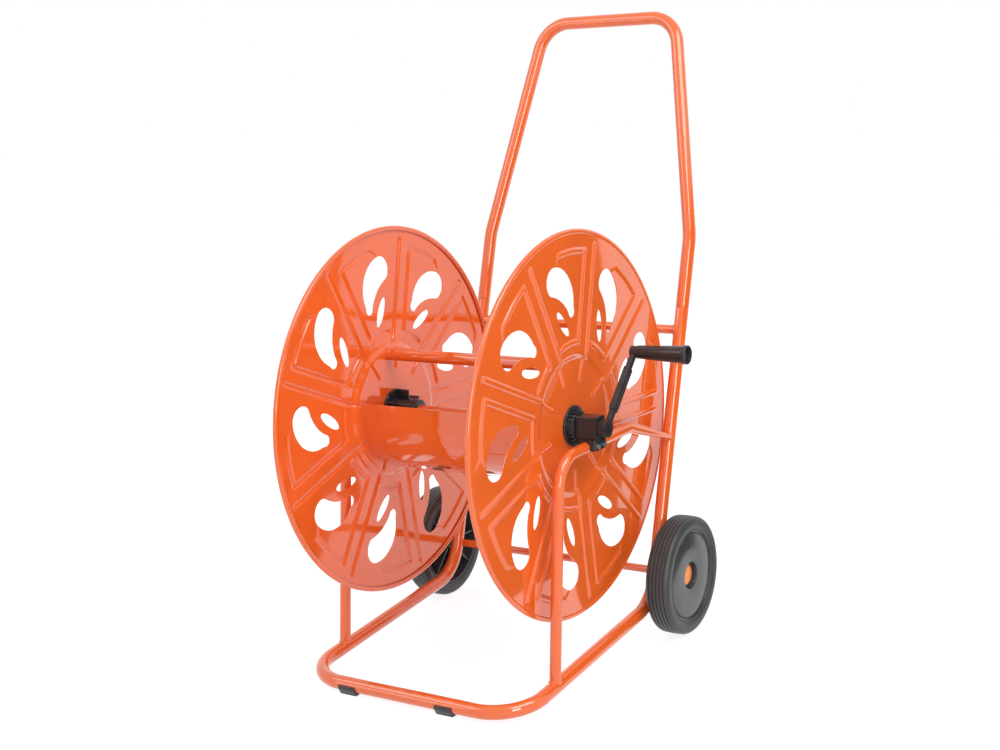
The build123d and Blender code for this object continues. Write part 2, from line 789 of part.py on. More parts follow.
def grip():
    """The tapered grip, with a lip and an open mouth at its end."""
    bore = pin_radius + running_clearance
    mouth_x = grip_end_x - grip_mouth_depth
    lip_x = grip_end_x - grip_lip
    return on_pin(turned([
        (grip_x, bore), (grip_x, grip_root_radius - grip_edge), (grip_x + grip_edge, grip_root_radius),
        (lip_x, grip_end_radius - grip_edge), (lip_x, grip_end_radius),
        (grip_end_x - grip_edge, grip_end_radius), (grip_end_x, grip_end_radius - grip_edge),
        (grip_end_x, grip_mouth_radius), (mouth_x, grip_mouth_radius), (mouth_x, bore),
    ]))


def assembly():
    """Every piece by name, in place."""
    wheel = wheel_centre()
    tread = tyre()
    cap = axle_cap()
    block = bearing_block()
    inner = hub_inner()
    pieces = {
        "base_frame": base_frame(),
        "handle_bow": handle_bow(),
        "cross_bar": cross_bar(),
        "leg_left": leg(-1),
        "leg_right": leg(1),
        "axle": axle(),
        "axle_washers": axle_washers(),
        "axle_cap_left": mirrored(cap),
        "axle_cap_right": cap,
        "wheel_left": mirrored(wheel),
        "wheel_right": wheel,
        "tyre_left": mirrored(tread),
        "tyre_right": tread,
        "foot_left": foot(foot_left_x),
        "foot_right": foot(foot_right_x),
        "disc_left": opposite(screwed_disc(left_phase)),
        "disc_right": screwed_disc(right_phase),
        "drum_trough": trough(),
        "tie_tube_top": tie_tube(tie_angles[0]),
        "tie_tube_rear": tie_tube(tie_angles[1]),
        "spindle": spindle(),
        "hub_inner_left": opposite(inner),
        "hub_inner_right": inner,
        "hub_outer_left": hub_outer_left(),
        "hub_outer_right": hub_outer_right(),
        "hub_screws": hub_screws(),
        "bearing_block_left": opposite(block),
        "bearing_block_right": block,
        "saddle_screws": saddle_screws(),
        "crank_arm": crank_arm(),
        "crank_screw": crank_screw(),
        "grip_pin": grip_pin(),
        "grip": grip(),
    }
    return pieces


# The origin is the middle of the floor under the whole cart
pieces = assembly()
box = Compound(list(pieces.values())).bounding_box()
to_origin = Pos(-box.center().X, -box.center().Y, -box.min.Z)
os.makedirs("parts", exist_ok=True)
for name, piece in pieces.items():
    export_step(to_origin * piece, f"parts/{name}.step")
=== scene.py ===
import json
import math

import bmesh
import bpy
import numpy as np
from mathutils import Matrix
from mathutils.geometry import delaunay_2d_cdt


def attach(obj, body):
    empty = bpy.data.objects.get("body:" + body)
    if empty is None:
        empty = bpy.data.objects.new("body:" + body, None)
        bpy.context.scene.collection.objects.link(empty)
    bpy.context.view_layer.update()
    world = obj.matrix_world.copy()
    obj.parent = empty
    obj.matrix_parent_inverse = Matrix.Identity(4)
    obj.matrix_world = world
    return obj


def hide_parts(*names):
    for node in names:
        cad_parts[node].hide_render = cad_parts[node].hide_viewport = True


bl_info = {
    "name": "Hose reel cart",
    "version": (1, 0, 0),
    "blender": (4, 5, 0),
    "location": "View3D > Sidebar > Hose cart",
    "description": "Builds a wheeled garden hose reel around its CAD frame",
    "category": "Object",
}

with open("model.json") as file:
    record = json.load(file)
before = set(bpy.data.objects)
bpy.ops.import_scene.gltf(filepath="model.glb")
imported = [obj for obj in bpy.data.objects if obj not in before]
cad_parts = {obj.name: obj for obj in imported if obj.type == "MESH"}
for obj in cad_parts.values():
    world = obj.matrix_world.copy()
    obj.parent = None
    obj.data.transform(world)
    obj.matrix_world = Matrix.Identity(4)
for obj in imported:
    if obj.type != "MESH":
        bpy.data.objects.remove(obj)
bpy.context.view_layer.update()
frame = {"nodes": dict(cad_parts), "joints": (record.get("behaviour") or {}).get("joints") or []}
joint_place = {joint["name"]: np.array(joint["pos_m"]) for joint in frame["joints"]}
reel_axis = joint_place["reel_spin"]
# Lengths of the frame are measured from the floor under the middle of the reel's axis
home = np.array([reel_axis[0], reel_axis[1], 0.0])
wheel_axis = np.array([home[0], *joint_place["wheel_right_spin"][1:]])
grip_axis = np.array([home[0], *joint_place["grip_spin"][1:]])

full_turn = 2 * math.pi
right_angle = math.pi / 2
crosswise = np.array([1.0, 0, 0])
rearward = np.array([0, 1.0, 0])
# Signs of X, Y and Z that put a piece of the right side on the left
as_is, mirror, half_turn = (1, 1, 1), (-1, 1, 1), (-1, -1, 1)


def size(name, description, default):
    """A length in metres that the sidebar shows."""
    return bpy.props.FloatProperty(
        name=name, description=description, default=default, precision=4, subtype="DISTANCE", unit="LENGTH"
    )


def angle(name, description, degrees):
    """An angle that the sidebar shows in degrees."""
    return bpy.props.FloatProperty(
        name=name, description=description, default=math.radians(degrees), subtype="ANGLE", unit="ROTATION"
    )


def count(name, description, default):
    """A whole number that the sidebar shows."""
    return bpy.props.IntProperty(name=name, description=description, default=default, min=1)


def tint(name, description, default):
    """An sRGB colour, written as six hex digits."""
    return bpy.props.StringProperty(name=name, description=description, default=default, maxlen=6)


class TubeSizes(bpy.types.PropertyGroup):
    """Sizes of the bent tube frame."""

    radius: size("Frame tube radius", "Outer radius of the base and handle tube", 0.010)
    half_width: size("Half width", "From the middle to the side tubes", 0.178)
    front: size("Front bar", "Front bar's place behind the reel axis", -0.218)
    front_height: size("Front bar height", "Front bar's centre above the floor", 0.0126)
    slope: angle("Rail slope", "Rise of the rails to the rear", 5.17)
    front_bend: size("Front bend", "Bend radius at the front corners", 0.066)
    rail_bend: size("Rail bend", "Bend radius from rail to upright", 0.065)
    corner: size("Rear corner", "Corner of rail and upright behind the reel axis", 0.1653)
    lean: angle("Upright lean", "Lean of the uprights to the rear", 16.9)
    seam: size("Seam height", "Height of the joint between upright and handle", 0.4717)
    knee: size("Knee", "From the seam to the handle's knee, along the tube", 0.109)
    knee_bend: size("Knee bend", "Bend radius of the knee", 0.110)
    handle_rise: size("Handle rise", "From the seam to the top bar, along the plane", 0.451)
    handle_half: size("Handle half width", "From the middle to the top corners", 0.116)
    handle_bend: size("Handle bend", "Bend radius of the top corners", 0.050)
    cross_radius: size("Cross bar radius", "Outer radius of the cross bar", 0.007)
    cross_drop: size("Cross bar drop", "From the seam down to the cross bar", 0.0335)
    leg_radius: size("Leg radius", "Outer radius of the legs", 0.008)
    leg_foot: size("Leg foot", "Leg's foot on the rail, behind the reel axis", -0.122)
    leg_lean: angle("Leg lean", "Lean of the legs to the rear", 6.6)
    leg_top: size("Leg top", "Height of the leg's level run", 0.3275)
    leg_bend: size("Leg bend", "Bend radius at the leg's top", 0.046)
    leg_knee: size("Leg knee", "Where the level run starts to fall", 0.114)
    leg_knee_bend: size("Leg knee bend", "Bend radius of that knee", 0.060)
    leg_end: size("Leg end height", "Height where the leg meets the upright", 0.285)
    leg_end_wide: size("Leg end half width", "Half width of the flattened end", 0.009)
    leg_end_thin: size("Leg end half thickness", "Half thickness of the flattened end", 0.0045)
    end_round: size("Tube end", "Rounding of the tubes' ends", 0.0012)
    bead: size("Weld bead", "Radius of the weld beads", 0.0014)


class ReelSizes(bpy.types.PropertyGroup):
    """Sizes of the pressed discs and the drum."""

    radius: size("Disc radius", "Outer radius of the discs", 0.270)
    panel: size("Disc place", "From the middle to a disc's sheet", 0.156)
    sheet: size("Disc sheet", "Thickness of the pressed sheet", 0.0012)
    curl: size("Rim curl", "Outer radius of the curled rim", 0.0035)
    dish: size("Hub zone", "Radius of the dished hub zone", 0.090)
    dish_flank: size("Dish flank", "Width of the dish's sloping flank", 0.011)
    dish_depth: size("Dish depth", "Depth of the dish", 0.005)
    hole: size("Hub hole", "Radius of the hole for the hub", 0.015)
    sectors: count("Sectors", "Number of pressed sectors", 9)
    right_turn: angle("Right disc's turn", "Turn of the crank side's disc", 17.0)
    left_turn: angle("Left disc's turn", "Turn of the far side's disc", 42.5)
    rib_half: size("Rib half width", "Half width of a pressed rib", 0.0052)
    rib_flat: size("Rib crest", "Half width of a rib's flat crest", 0.0014)
    rib_height: size("Rib height", "Height of a pressed rib", 0.0024)
    spoke_gap: size("Spoke gap", "From a spoke's line to the ribs beside it", 0.0126)
    rim_step: size("Rim step", "Rise of the sheet beside the curled rim", 0.0010)
    rim_band: size("Rim band", "Width of the raised band with the curled rim", 0.0070)
    panel_bow: size("Panel bow", "Bulge of each pressed sector", 0.0007)
    tail_turn: angle("Rib tail's turn", "From a spoke's line to the tail of its long rib", 7.0)
    tail_half: size("Rib tail half width", "Half width of the long rib's tail", 0.0042)
    tail_height: size("Rib tail height", "Height of the long rib's tail", 0.0020)
    drum_radius: size("Drum radius", "Radius of the drum's curved sheet", 0.079)
    drum_arc: angle("Drum arc", "Arc of the drum's curved sheet", 72.0)
    drum_turn: angle("Drum place", "Direction of the curved sheet's middle", 216.0)
    drum_strip: size("Drum strip", "Width of the straight strips at its edges", 0.026)
    drum_flare: angle("Drum flare", "Flare of those strips", 7.0)
    drum_bend: size("Drum bend", "Bend radius between arc and strip", 0.004)
    drum_sheet: size("Drum sheet", "Thickness of the drum's sheet", 0.0015)
    drum_wave: size("Drum wave", "Height of the shallow flats that the rolls leave", 0.00012)
    drum_pitch: size("Drum pitch", "Width of those flats", 0.021)
    tie_radius: size("Tie tube radius", "Outer radius of the tie tubes", 0.009)
    tie_circle: size("Tie circle", "From the reel axis to the tie tubes", 0.085)
    tie_top: angle("Top tie tube", "Direction of the upper tie tube", 96.0)
    tie_rear: angle("Rear tie tube", "Direction of the rear tie tube", 336.0)
    spindle: size("Spindle radius", "Outer radius of the spindle", 0.0095)


class HubSizes(bpy.types.PropertyGroup):
    """Sizes of the moulded hubs and the crank's grip."""

    flange: size("Inner flange radius", "Radius of the inner hub's flange", 0.031)
    flange_thick: size("Inner flange", "Thickness of the inner hub's flange", 0.004)
    boss: size("Inner boss radius", "Radius of the boss that holds the spindle", 0.0175)
    boss_length: size("Inner boss", "Length of that boss", 0.044)
    fins: count("Fins", "Fins round the inner boss", 6)
    fin_wide: size("Fin width", "Width of a fin", 0.003)
    fin_length: size("Fin length", "Length of a fin", 0.022)
    outer_flange: size("Outer flange radius", "Radius of the outer hub's flange", 0.0285)
    outer_thick: size("Outer flange", "Thickness of the outer hub's flange", 0.003)
    crown: size("Crown radius", "Radius of the outer hub's crown", 0.020)
    crown_length: size("Crown", "Length of that crown", 0.0074)
    ribs: count("Crown ribs", "Ribs round the crown", 18)
    rib_wide: size("Crown rib width", "Width of a crown rib", 0.0028)
    rib_high: size("Crown rib height", "Height of a crown rib", 0.003)
    journal: size("Journal radius", "Radius of the journal", 0.0085)
    journal_end: size("Journal end", "From the middle to the journal's end", 0.1955)
    grip_start: size("Grip start", "From the middle to the grip's root", 0.2078)
    grip_length: size("Grip length", "Length of the grip", 0.078)
    grip_root: size("Grip root radius", "Radius of the grip at its root", 0.0092)
    grip_end: size("Grip end radius", "Radius of the grip's lip", 0.0132)
    grip_lip: size("Grip lip", "Length of the grip's lip", 0.006)
    grip_mouth: size("Grip mouth radius", "Radius of the open mouth", 0.0105)
    grip_mouth_deep: size("Grip mouth", "Depth of the open mouth", 0.009)
    grip_bore: size("Grip bore radius", "Radius of the bore for the pin", 0.00406)
    edge: size("Moulded edge", "Rounding of the moulded pieces' edges", 0.0007)


class WheelSizes(bpy.types.PropertyGroup):
    """Sizes of the wheels."""

    radius: size("Wheel radius", "Outer radius of the tyre", 0.088)
    inner: size("Inner face", "From the middle to the wheel's inner face", 0.1965)
    width: size("Wheel width", "Width of the tyre", 0.037)
    rim: size("Rim radius", "Radius of the moulded rim", 0.069)
    rim_wall: size("Rim wall", "Thickness of the moulded rim", 0.0035)
    rim_edge: size("Rim edge", "Bevel of the rim's edges", 0.0015)
    web: size("Web", "Thickness of the wheel's web", 0.0035)
    dish: size("Face depth", "Depth of the wheel's face behind its rim", 0.004)
    face_groove: size("Face groove", "Depth of the groove round the wheel's face", 0.002)
    hub: size("Hub tube radius", "Radius of the hub tube", 0.013)
    bore: size("Bore radius", "Radius of the axle's bore", 0.00506)
    recess: size("Recess radius", "Radius of the recess for the cap", 0.020)
    recess_deep: size("Recess depth", "Depth of that recess", 0.009)
    ribs: count("Wheel ribs", "Ribs behind the face", 8)
    rib_wide: size("Wheel rib width", "Width of those ribs", 0.0026)
    shoulder: size("Shoulder", "Rounding of the tyre's shoulders", 0.007)
    crown: size("Tread crown", "How far the tread falls at its edges", 0.0004)
    grooves: count("Tread grooves", "Number of grooves round the tread", 5)
    groove: size("Groove width", "Width of a tread groove", 0.0018)
    groove_deep: size("Groove depth", "Depth of a tread groove", 0.0015)
    bead: size("Tyre bead", "Height of the tyre's bead over the rim", 0.003)
    bead_back: size("Tyre bead's edge", "From the tyre's side to the bead's edge", 0.0025)
    cap: size("Cap radius", "Radius of the axle cap", 0.016)
    cap_high: size("Cap height", "Height of the axle cap", 0.003)
    cap_gap: size("Cap gap", "From the recess to the cap", 0.0003)


class FootSizes(bpy.types.PropertyGroup):
    """Sizes of the clip feet."""

    left: size("Left foot", "Left foot's place across the front bar", -0.094)
    right: size("Right foot", "Right foot's place across the front bar", 0.067)
    length: size("Foot length", "Length of a foot along the bar", 0.027)
    wall: size("Foot wall", "Thickness of the clip's ring", 0.0026)
    pad: size("Foot pad", "Width of the flat pad", 0.015)
    front: angle("Front arm", "Direction of the end of the clip's front arm", 173.0)
    rear: angle("Rear arm", "Direction of the end of the clip's rear arm", 370.0)


class Colours(bpy.types.PropertyGroup):
    """Colours of the finishes."""

    paint: tint("Powder coat", "Orange of the painted steel", "EC6622")
    plastic: tint("Moulded plastic", "Black of the hubs, blocks, crank and feet", "252628")
    wheel: tint("Wheel plastic", "Black of the wheels", "3B3E40")
    tyre: tint("Tyre", "Black of the tyres", "383A3A")
    cap: tint("Axle cap", "Orange of the axle caps", "EE8A34")
    zinc: tint("Zinc", "Plated steel of the screws", "C4C5C6")
    oxide: tint("Black oxide", "Blackened steel of the crank's screw", "3A3A3C")
    floor: tint("Floor", "Pale floor", "F4F4F4")


# Finishes

# Most of a noise lies between these
noise_low, noise_high = 0.3, 0.7


def linear(colour, scale=1.0, lift=0.0):
    """The linear RGBA of an sRGB colour written as six hex digits, scaled and lifted."""
    channels = [int(colour[start:start + 2], 16) / 255 for start in (0, 2, 4)]
    plain = [c / 12.92 if c <= 0.04045 else ((c + 0.055) / 1.055) ** 2.4 for c in channels]
    return [scale * c + lift for c in plain] + [1.0]


def add(tree, kind, inputs=(), **settings):
    """Adds a node: settings are its own properties, inputs give a socket a value or another node's output."""
    made = tree.nodes.new(kind)
    for name, value in settings.items():
        setattr(made, name, value)
    for socket, value in dict(inputs).items():
        if isinstance(value, bpy.types.NodeSocket):
            tree.links.new(value, made.inputs[socket])
        else:
            made.inputs[socket].default_value = value
    return made


def emptied(holder):
    """The node tree of a material or a world, with nothing in it."""
    holder.use_nodes = True
    holder.node_tree.nodes.clear()
    return holder.node_tree


def blank(name, **constants):
    """A new material with a Principled shader and an output, and the Object coordinates."""
    material = bpy.data.materials.new(name)
    tree = emptied(material)
    sockets = {key.replace("_", " "): value for key, value in constants.items()}
    shader = add(tree, "ShaderNodeBsdfPrincipled", sockets)
    add(tree, "ShaderNodeOutputMaterial", {"Surface": shader.outputs["BSDF"]})
    place = add(tree, "ShaderNodeTexCoord").outputs["Object"]
    return material, tree, shader.inputs, place


def shaded(tree, shader, patches, first, second):
    """Moves a shader's colour from one to another as patches of noise go from low to high."""
    limits = {"Value": patches, "From Min": noise_low, "From Max": noise_high}
    share = add(tree, "ShaderNodeMapRange", limits).outputs["Result"]
    mix = add(tree, "ShaderNodeMix", {0: share, 6: first, 7: second}, data_type="RGBA")
    tree.links.new(mix.outputs[2], shader["Base Color"])


def grained(tree, shader, patches, dull, grain, strength, depth):
    """Moves a shader's roughness over a range with patches of noise, and lifts its surface with a grain."""
    limits = {"Value": patches, "From Min": noise_low, "From Max": noise_high}
    rough = add(tree, "ShaderNodeMapRange", {**limits, "To Min": dull[0], "To Max": dull[1]})
    tree.links.new(rough.outputs["Result"], shader["Roughness"])
    bump = add(tree, "ShaderNodeBump", {"Strength": strength, "Distance": depth, "Height": grain})
    tree.links.new(bump.outputs["Normal"], shader["Normal"])


def powder_coat(name, colour):
    """Baked polyester powder on steel: a glossy skin with a faint ripple, and a slightly uneven colour."""
    material, tree, shader, place = blank(name, IOR=1.5, Coat_Weight=0.8, Coat_Roughness=0.02)
    # The ripple of sprayed powder is 1 to 2 mm wide: it is drawn at 6 mm so that it shows
    ripple = add(tree, "ShaderNodeTexNoise", {"Vector": place, "Scale": 160.0, "Detail": 1.0})
    # The depth of colour drifts over about 70 mm, the width of the spray
    drift = add(tree, "ShaderNodeTexNoise", {"Vector": place, "Scale": 14.0, "Detail": 2.0}).outputs["Fac"]
    shaded(tree, shader, drift, linear(colour, scale=0.93), linear(colour))
    grained(tree, shader, drift, (0.05, 0.1), ripple.outputs["Fac"], strength=0.0025, depth=0.001)
    return material


def moulded(name, colour, rough, grain):
    """Moulded plastic: a spark-eroded grain, of a width in metres, with a soft sheen, paler where rubbed."""
    material, tree, shader, place = blank(name, IOR=1.49)
    # The grain is finer than 0.5 mm: its width is set so that it shows
    fine = add(tree, "ShaderNodeTexNoise", {"Vector": place, "Scale": 1.0 / grain, "Detail": 2.0})
    # Hands and ground rub patches of about 25 mm
    rubbed = add(tree, "ShaderNodeTexNoise", {"Vector": place, "Scale": 40.0, "Detail": 3.0}).outputs["Fac"]
    shaded(tree, shader, rubbed, linear(colour), linear(colour, scale=1.3, lift=0.003))
    dull = rough - 0.05, rough + 0.06
    grained(tree, shader, rubbed, dull, fine.outputs["Fac"], strength=0.1, depth=0.0004)
    return material


def turned_steel(name, colour, rough):
    """Plated or blackened steel: a metal with faint turning marks."""
    material, tree, shader, place = blank(name, Base_Color=linear(colour), Metallic=1.0)
    # Turning marks are about 0.2 mm apart: they are drawn at 1 mm so that they show
    marks = add(tree, "ShaderNodeTexNoise", {"Vector": place, "Scale": 900.0, "Detail": 2.0}).outputs["Fac"]
    grained(tree, shader, marks, (rough, rough + 0.14), marks, strength=0.1, depth=0.0002)
    return material


# Each finish: its slot in the record, its maker, its colour's name and the maker's other numbers
finishes = {
    "powder coated steel": ("orange_paint", powder_coat, "paint"),
    "moulded nylon": ("black_plastic", moulded, "plastic", 0.17, 0.0016),
    "moulded polyethylene": ("black_plastic", moulded, "wheel", 0.13, 0.003),
    "moulded tyre compound": ("black_tyre", moulded, "tyre", 0.42, 0.0012),
    "moulded polypropylene": ("orange_plastic", moulded, "cap", 0.25, 0.002),
    "zinc plated steel": ("zinc_steel", turned_steel, "zinc", 0.26),
    "blackened steel": ("black_steel", turned_steel, "oxide", 0.3),
}


def finish_material(finish):
    """A finish's material, made once."""
    _, maker, tint_name, *numbers = finishes[finish]
    colour = getattr(bpy.context.scene.cart_colours, tint_name)
    return bpy.data.materials.get(finish) or maker(finish, colour, *numbers)


def paint_nodes(finish, *nodes):
    """Gives CAD nodes that keep their own shape a finish."""
    for name in nodes:
        materials = frame["nodes"][name].data.materials
        materials.clear()
        materials.append(finish_material(finish))


# Surfaces: a surface is an array of points and a list of arrays of face numbers

# Points closer than the first are one, and edges shorter than the second are taken out
double_gap, sliver_gap = 1e-6, 1e-7
least_corner = 1e-5
corner_step = math.radians(22)


def unit(vectors):
    """Vectors scaled to length 1."""
    return vectors / np.linalg.norm(vectors, axis=-1, keepdims=True)


def turns(steps):
    """Equal turns round a circle, from zero."""
    return np.linspace(0, full_turn, steps, endpoint=False)


def polar(radius, turn):
    """Flat points at a radius and a turn: radius times cosine, and radius times sine."""
    return np.stack([radius * np.cos(turn), radius * np.sin(turn)], axis=-1)


def circle(radius, steps):
    """Points of a circle, anticlockwise."""
    return polar(radius, turns(steps))


def spun(points, turn):
    """Flat points turned about the axis."""
    c, s = math.cos(turn), math.sin(turn)
    x, y = points[..., 0], points[..., 1]
    return np.stack([x * c - y * s, x * s + y * c], axis=-1)


def smooth(value):
    """A smooth S: a value held between 0 and 1, three times its square less twice its cube."""
    share = np.clip(value, 0, 1)
    return share * share * (3 - 2 * share)


def grid_quads(rows, columns, closed_rows=False):
    """Quads between neighbouring points of a grid that closes across its columns, and its rows if asked."""
    numbers = np.arange(rows * columns).reshape(rows, columns)
    after = np.roll(numbers, -1, axis=1)
    quads = np.stack([numbers, after, np.roll(after, -1, axis=0), np.roll(numbers, -1, axis=0)], axis=-1)
    return quads[: rows if closed_rows else rows - 1].reshape(-1, 4)


def rounded_path(corners, radii, step=math.radians(4)):
    """Straight runs joined by arcs: each arc touches both runs of its corner, its centre on the bisector."""
    corners = np.asarray(corners, float)
    runs = [corners[:1]]
    for before, corner, after, radius in zip(corners, corners[1:], corners[2:], radii):
        back, ahead = unit(before - corner), unit(after - corner)
        opening = math.acos(float(np.clip(back @ ahead, -1, 1)))
        centre = corner + unit(back + ahead) * radius / math.sin(opening / 2)
        start = corner + back * radius / math.tan(opening / 2) - centre
        end = corner + ahead * radius / math.tan(opening / 2) - centre
        sweep = math.pi - opening
        share = np.linspace(0, 1, max(2, math.ceil(sweep / step) + 1))[:, None]
        arc = np.sin((1 - share) * sweep) * start + np.sin(share * sweep) * end
        runs.append(centre + arc / math.sin(sweep))
    return np.concatenate(runs + [corners[-1:]])


def softened(profile, radius):
    """A profile with each of its inner corners rounded, by less where its runs are short."""
    profile = np.asarray(profile, float)
    back, ahead = profile[:-2] - profile[1:-1], profile[2:] - profile[1:-1]
    shortest = np.minimum(np.linalg.norm(back, axis=1), np.linalg.norm(ahead, axis=1))
    opening = np.arccos(np.clip((unit(back) * unit(ahead)).sum(1), -1, 1))
    most = 0.45
    return rounded_path(profile, np.minimum(radius, most * shortest * np.tan(opening / 2)), corner_step)


def evened(loop, spacing):
    """A closed outline with its points moved to equal steps along it."""
    closed = np.concatenate([loop, loop[:1]])
    run = np.concatenate([[0], np.cumsum(np.linalg.norm(np.diff(closed, axis=0), axis=1))])
    fewest = 12
    steps = np.linspace(0, run[-1], max(fewest, int(run[-1] / spacing)), endpoint=False)
    return np.stack([np.interp(steps, run, closed[:, k]) for k in (0, 1)], axis=-1)


def blunted(loop, passes):
    """A closed outline with its kinks rounded: in each pass every point moves to the mean of itself, taken
    twice, and its neighbours."""
    for _ in range(passes):
        loop = (np.roll(loop, 1, axis=0) + 2 * loop + np.roll(loop, -1, axis=0)) / 4
    return loop


def eased_end(edge, steps):
    """How far each section of a rounded end lies from its tip, and how much smaller it is, by a quarter
    circle."""
    turn = np.linspace(0, right_angle, steps)
    return edge * (1 - np.stack([np.cos(turn), np.sin(turn)]))


def swept(path, profile, reference, closed=False):
    """A profile carried along a path: each point is the path's point plus the profile's two numbers along
    two directions square to the path, the first nearest to the reference. An open path's ends are closed."""
    path, reference = np.asarray(path, float), np.asarray(reference, float)
    steps = np.roll(path, -1, axis=0) - np.roll(path, 1, axis=0) if closed else np.gradient(path, axis=0)
    along = unit(steps)
    first = unit(reference - (along @ reference)[:, None] * along)
    second = np.cross(along, first)
    profile = np.broadcast_to(profile, (len(path),) + np.shape(profile)[-2:])
    points = path[:, None] + profile[..., :1] * first[:, None] + profile[..., 1:] * second[:, None]
    rows, columns = points.shape[:2]
    faces = [grid_quads(rows, columns, closed)]
    if not closed:
        cap = np.arange(columns)[None]
        faces += [cap[:, ::-1], cap + (rows - 1) * columns]
    return points.reshape(-1, 3), faces


def tube(path, radius, reference, sides=40, ease=0.0):
    """A round tube along a path. Where a rounding is given, the radius falls at both ends along a quarter
    circle."""
    path = np.asarray(path, float)
    radii = np.full(len(path), radius)
    if ease:
        first, last = unit(path[1] - path[0]), unit(path[-1] - path[-2])
        slide, shrink = eased_end(ease, 5)[:, :-1]
        body = np.concatenate([[path[0] + first * ease], path[1:-1], [path[-1] - last * ease]])
        start, end = path[0] + first * slide[:, None], path[-1] - last * slide[::-1, None]
        path = np.concatenate([start, body, end])
        radii = np.concatenate([radius - shrink, np.full(len(body), radius), (radius - shrink)[::-1]])
    return swept(path, circle(1.0, sides) * radii[:, None, None], reference)


def lathe(profile, turn):
    """Rows of a profile of (x, radius) at turns about X: y is radius times cosine, z radius times sine."""
    profile = np.asarray(profile, float)
    x = np.broadcast_to(profile[:, :1], (len(profile), len(turn)))
    return np.concatenate([x[..., None], polar(profile[:, 1:], turn)], axis=-1)


def turned(profile, centre, steps=96):
    """A profile of (x, radius) points turned full circle about a line along X."""
    rows = lathe(profile, turns(steps))
    return rows.reshape(-1, 3) + centre, [grid_quads(len(rows), steps)]


def rounded_rectangle(half_wide, half_high, corner, steps=4):
    """A rectangle with quarter circles at its corners, anticlockwise, or one for each of several sections."""
    half_wide, half_high, corner = (np.asarray(v, float)[..., None] for v in (half_wide, half_high, corner))
    quarter = np.linspace(0, right_angle, steps + 1)
    turn = np.concatenate([quarter + right_angle * k for k in range(4)])
    side = np.repeat([[1, 1], [-1, 1], [-1, -1], [1, -1]], steps + 1, axis=0)
    wide = side[:, 0] * (half_wide - corner) + corner * np.cos(turn)
    high = side[:, 1] * (half_high - corner) + corner * np.sin(turn)
    return np.stack([wide, high], axis=-1)


def bar(start, end, wide, high, edge):
    """A straight bar of rounded rectangular section, wide along Y, its ends rounded by shrinking the last
    sections along a quarter circle."""
    along = unit(end - start)
    slide, shrink = eased_end(edge, 4)
    path = np.concatenate([start + along * slide[:, None], end - along * slide[::-1, None]])
    shrink = np.concatenate([shrink, shrink[::-1]])
    corner = np.maximum(edge - shrink, least_corner)
    return swept(path, rounded_rectangle(wide / 2 - shrink, high / 2 - shrink, corner), rearward)


def joined(*parts):
    """Several surfaces as one, with the faces' numbers moved on."""
    firsts = np.cumsum([0] + [len(points) for points, _ in parts])
    blocks = [block + first for (_, faces), first in zip(parts, firsts) for block in faces]
    return np.concatenate([points for points, _ in parts]), blocks


def repeated(part, times, centre):
    """A surface repeated at equal turns about a line along X."""
    points, faces = part
    local = points - centre
    turn = turns(times)[:, None]
    y = local[:, 1] * np.cos(turn) - local[:, 2] * np.sin(turn)
    z = local[:, 1] * np.sin(turn) + local[:, 2] * np.cos(turn)
    copies = np.stack([np.broadcast_to(local[:, 0], y.shape), y, z], axis=-1).reshape(-1, 3) + centre
    moves = len(points) * np.arange(times)[:, None, None]
    return copies, [(block + moves).reshape(-1, block.shape[1]) for block in faces]


def flipped(part, signs):
    """A surface with its places' signs changed about home. A mirrored one has its faces turned over."""
    points, faces = part
    return home + (points - home) * signs, [block[:, ::int(np.prod(signs))] for block in faces]


def linked(name, data):
    """A new object of some data, in the scene."""
    made = bpy.data.objects.new(name, data)
    bpy.context.scene.collection.objects.link(made)
    return made


def placed(name, mesh, finish, body, nodes):
    """Puts a mesh into the scene on a body, with its finish, in the place of CAD nodes."""
    mesh.materials.clear()
    mesh.materials.append(finish_material(finish))
    made = linked(name, mesh)
    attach(made, body)
    if nodes:
        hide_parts(*nodes)
    return made


def piece(name, part, finish, body, nodes=(), sharp=32.0):
    """Puts a surface into the scene: doubles merged, faces outward, and edges over an angle left sharp."""
    points, faces = part
    mesh = bpy.data.meshes.new(name)
    mesh.from_pydata(points.tolist(), [], [face for block in faces for face in block.tolist()])
    work = bmesh.new()
    work.from_mesh(mesh)
    bmesh.ops.remove_doubles(work, verts=work.verts, dist=double_gap)
    bmesh.ops.dissolve_degenerate(work, edges=work.edges, dist=sliver_gap)
    bmesh.ops.recalc_face_normals(work, faces=work.faces)
    work.to_mesh(mesh)
    work.free()
    mesh.shade_smooth()
    mesh.set_sharp_from_angle(angle=math.radians(sharp))
    return placed(name, mesh, finish, body, nodes)


def eased(name, node, edge, finish, body):
    """A CAD node's shape with rounded edges: a copy with its doubles merged and its flat faces made whole,
    then a bevel on every edge over 30 degrees and normals weighted by face area."""
    mesh = frame["nodes"][node].data.copy()
    mesh.name = name
    work = bmesh.new()
    work.from_mesh(mesh)
    bmesh.ops.remove_doubles(work, verts=work.verts, dist=double_gap)
    bmesh.ops.dissolve_limit(work, angle_limit=math.radians(0.5), verts=work.verts, edges=work.edges)
    work.to_mesh(mesh)
    work.free()
    mesh.shade_smooth()
    made = placed(name, mesh, finish, body, [node])
    bevel = made.modifiers.new("rounded edges", "BEVEL")
    bevel.width, bevel.segments, bevel.limit_method = edge, 2, "ANGLE"
    bevel.angle_limit, bevel.use_clamp_overlap = math.radians(30), True
    made.modifiers.new("flat faces", "WEIGHTED_NORMAL").weight = 100
    return made


# Tube frame

# Tubes that meet another end inside it, at a share of its radius from its centre line
leg_sink, cross_sink = 0.75, 0.6
# A bead's outline starts this far outside the tube it lies on, and its ripple is a share of its radius
weld_start = 0.05
bead_ripple, bead_ripples = 0.14, 24


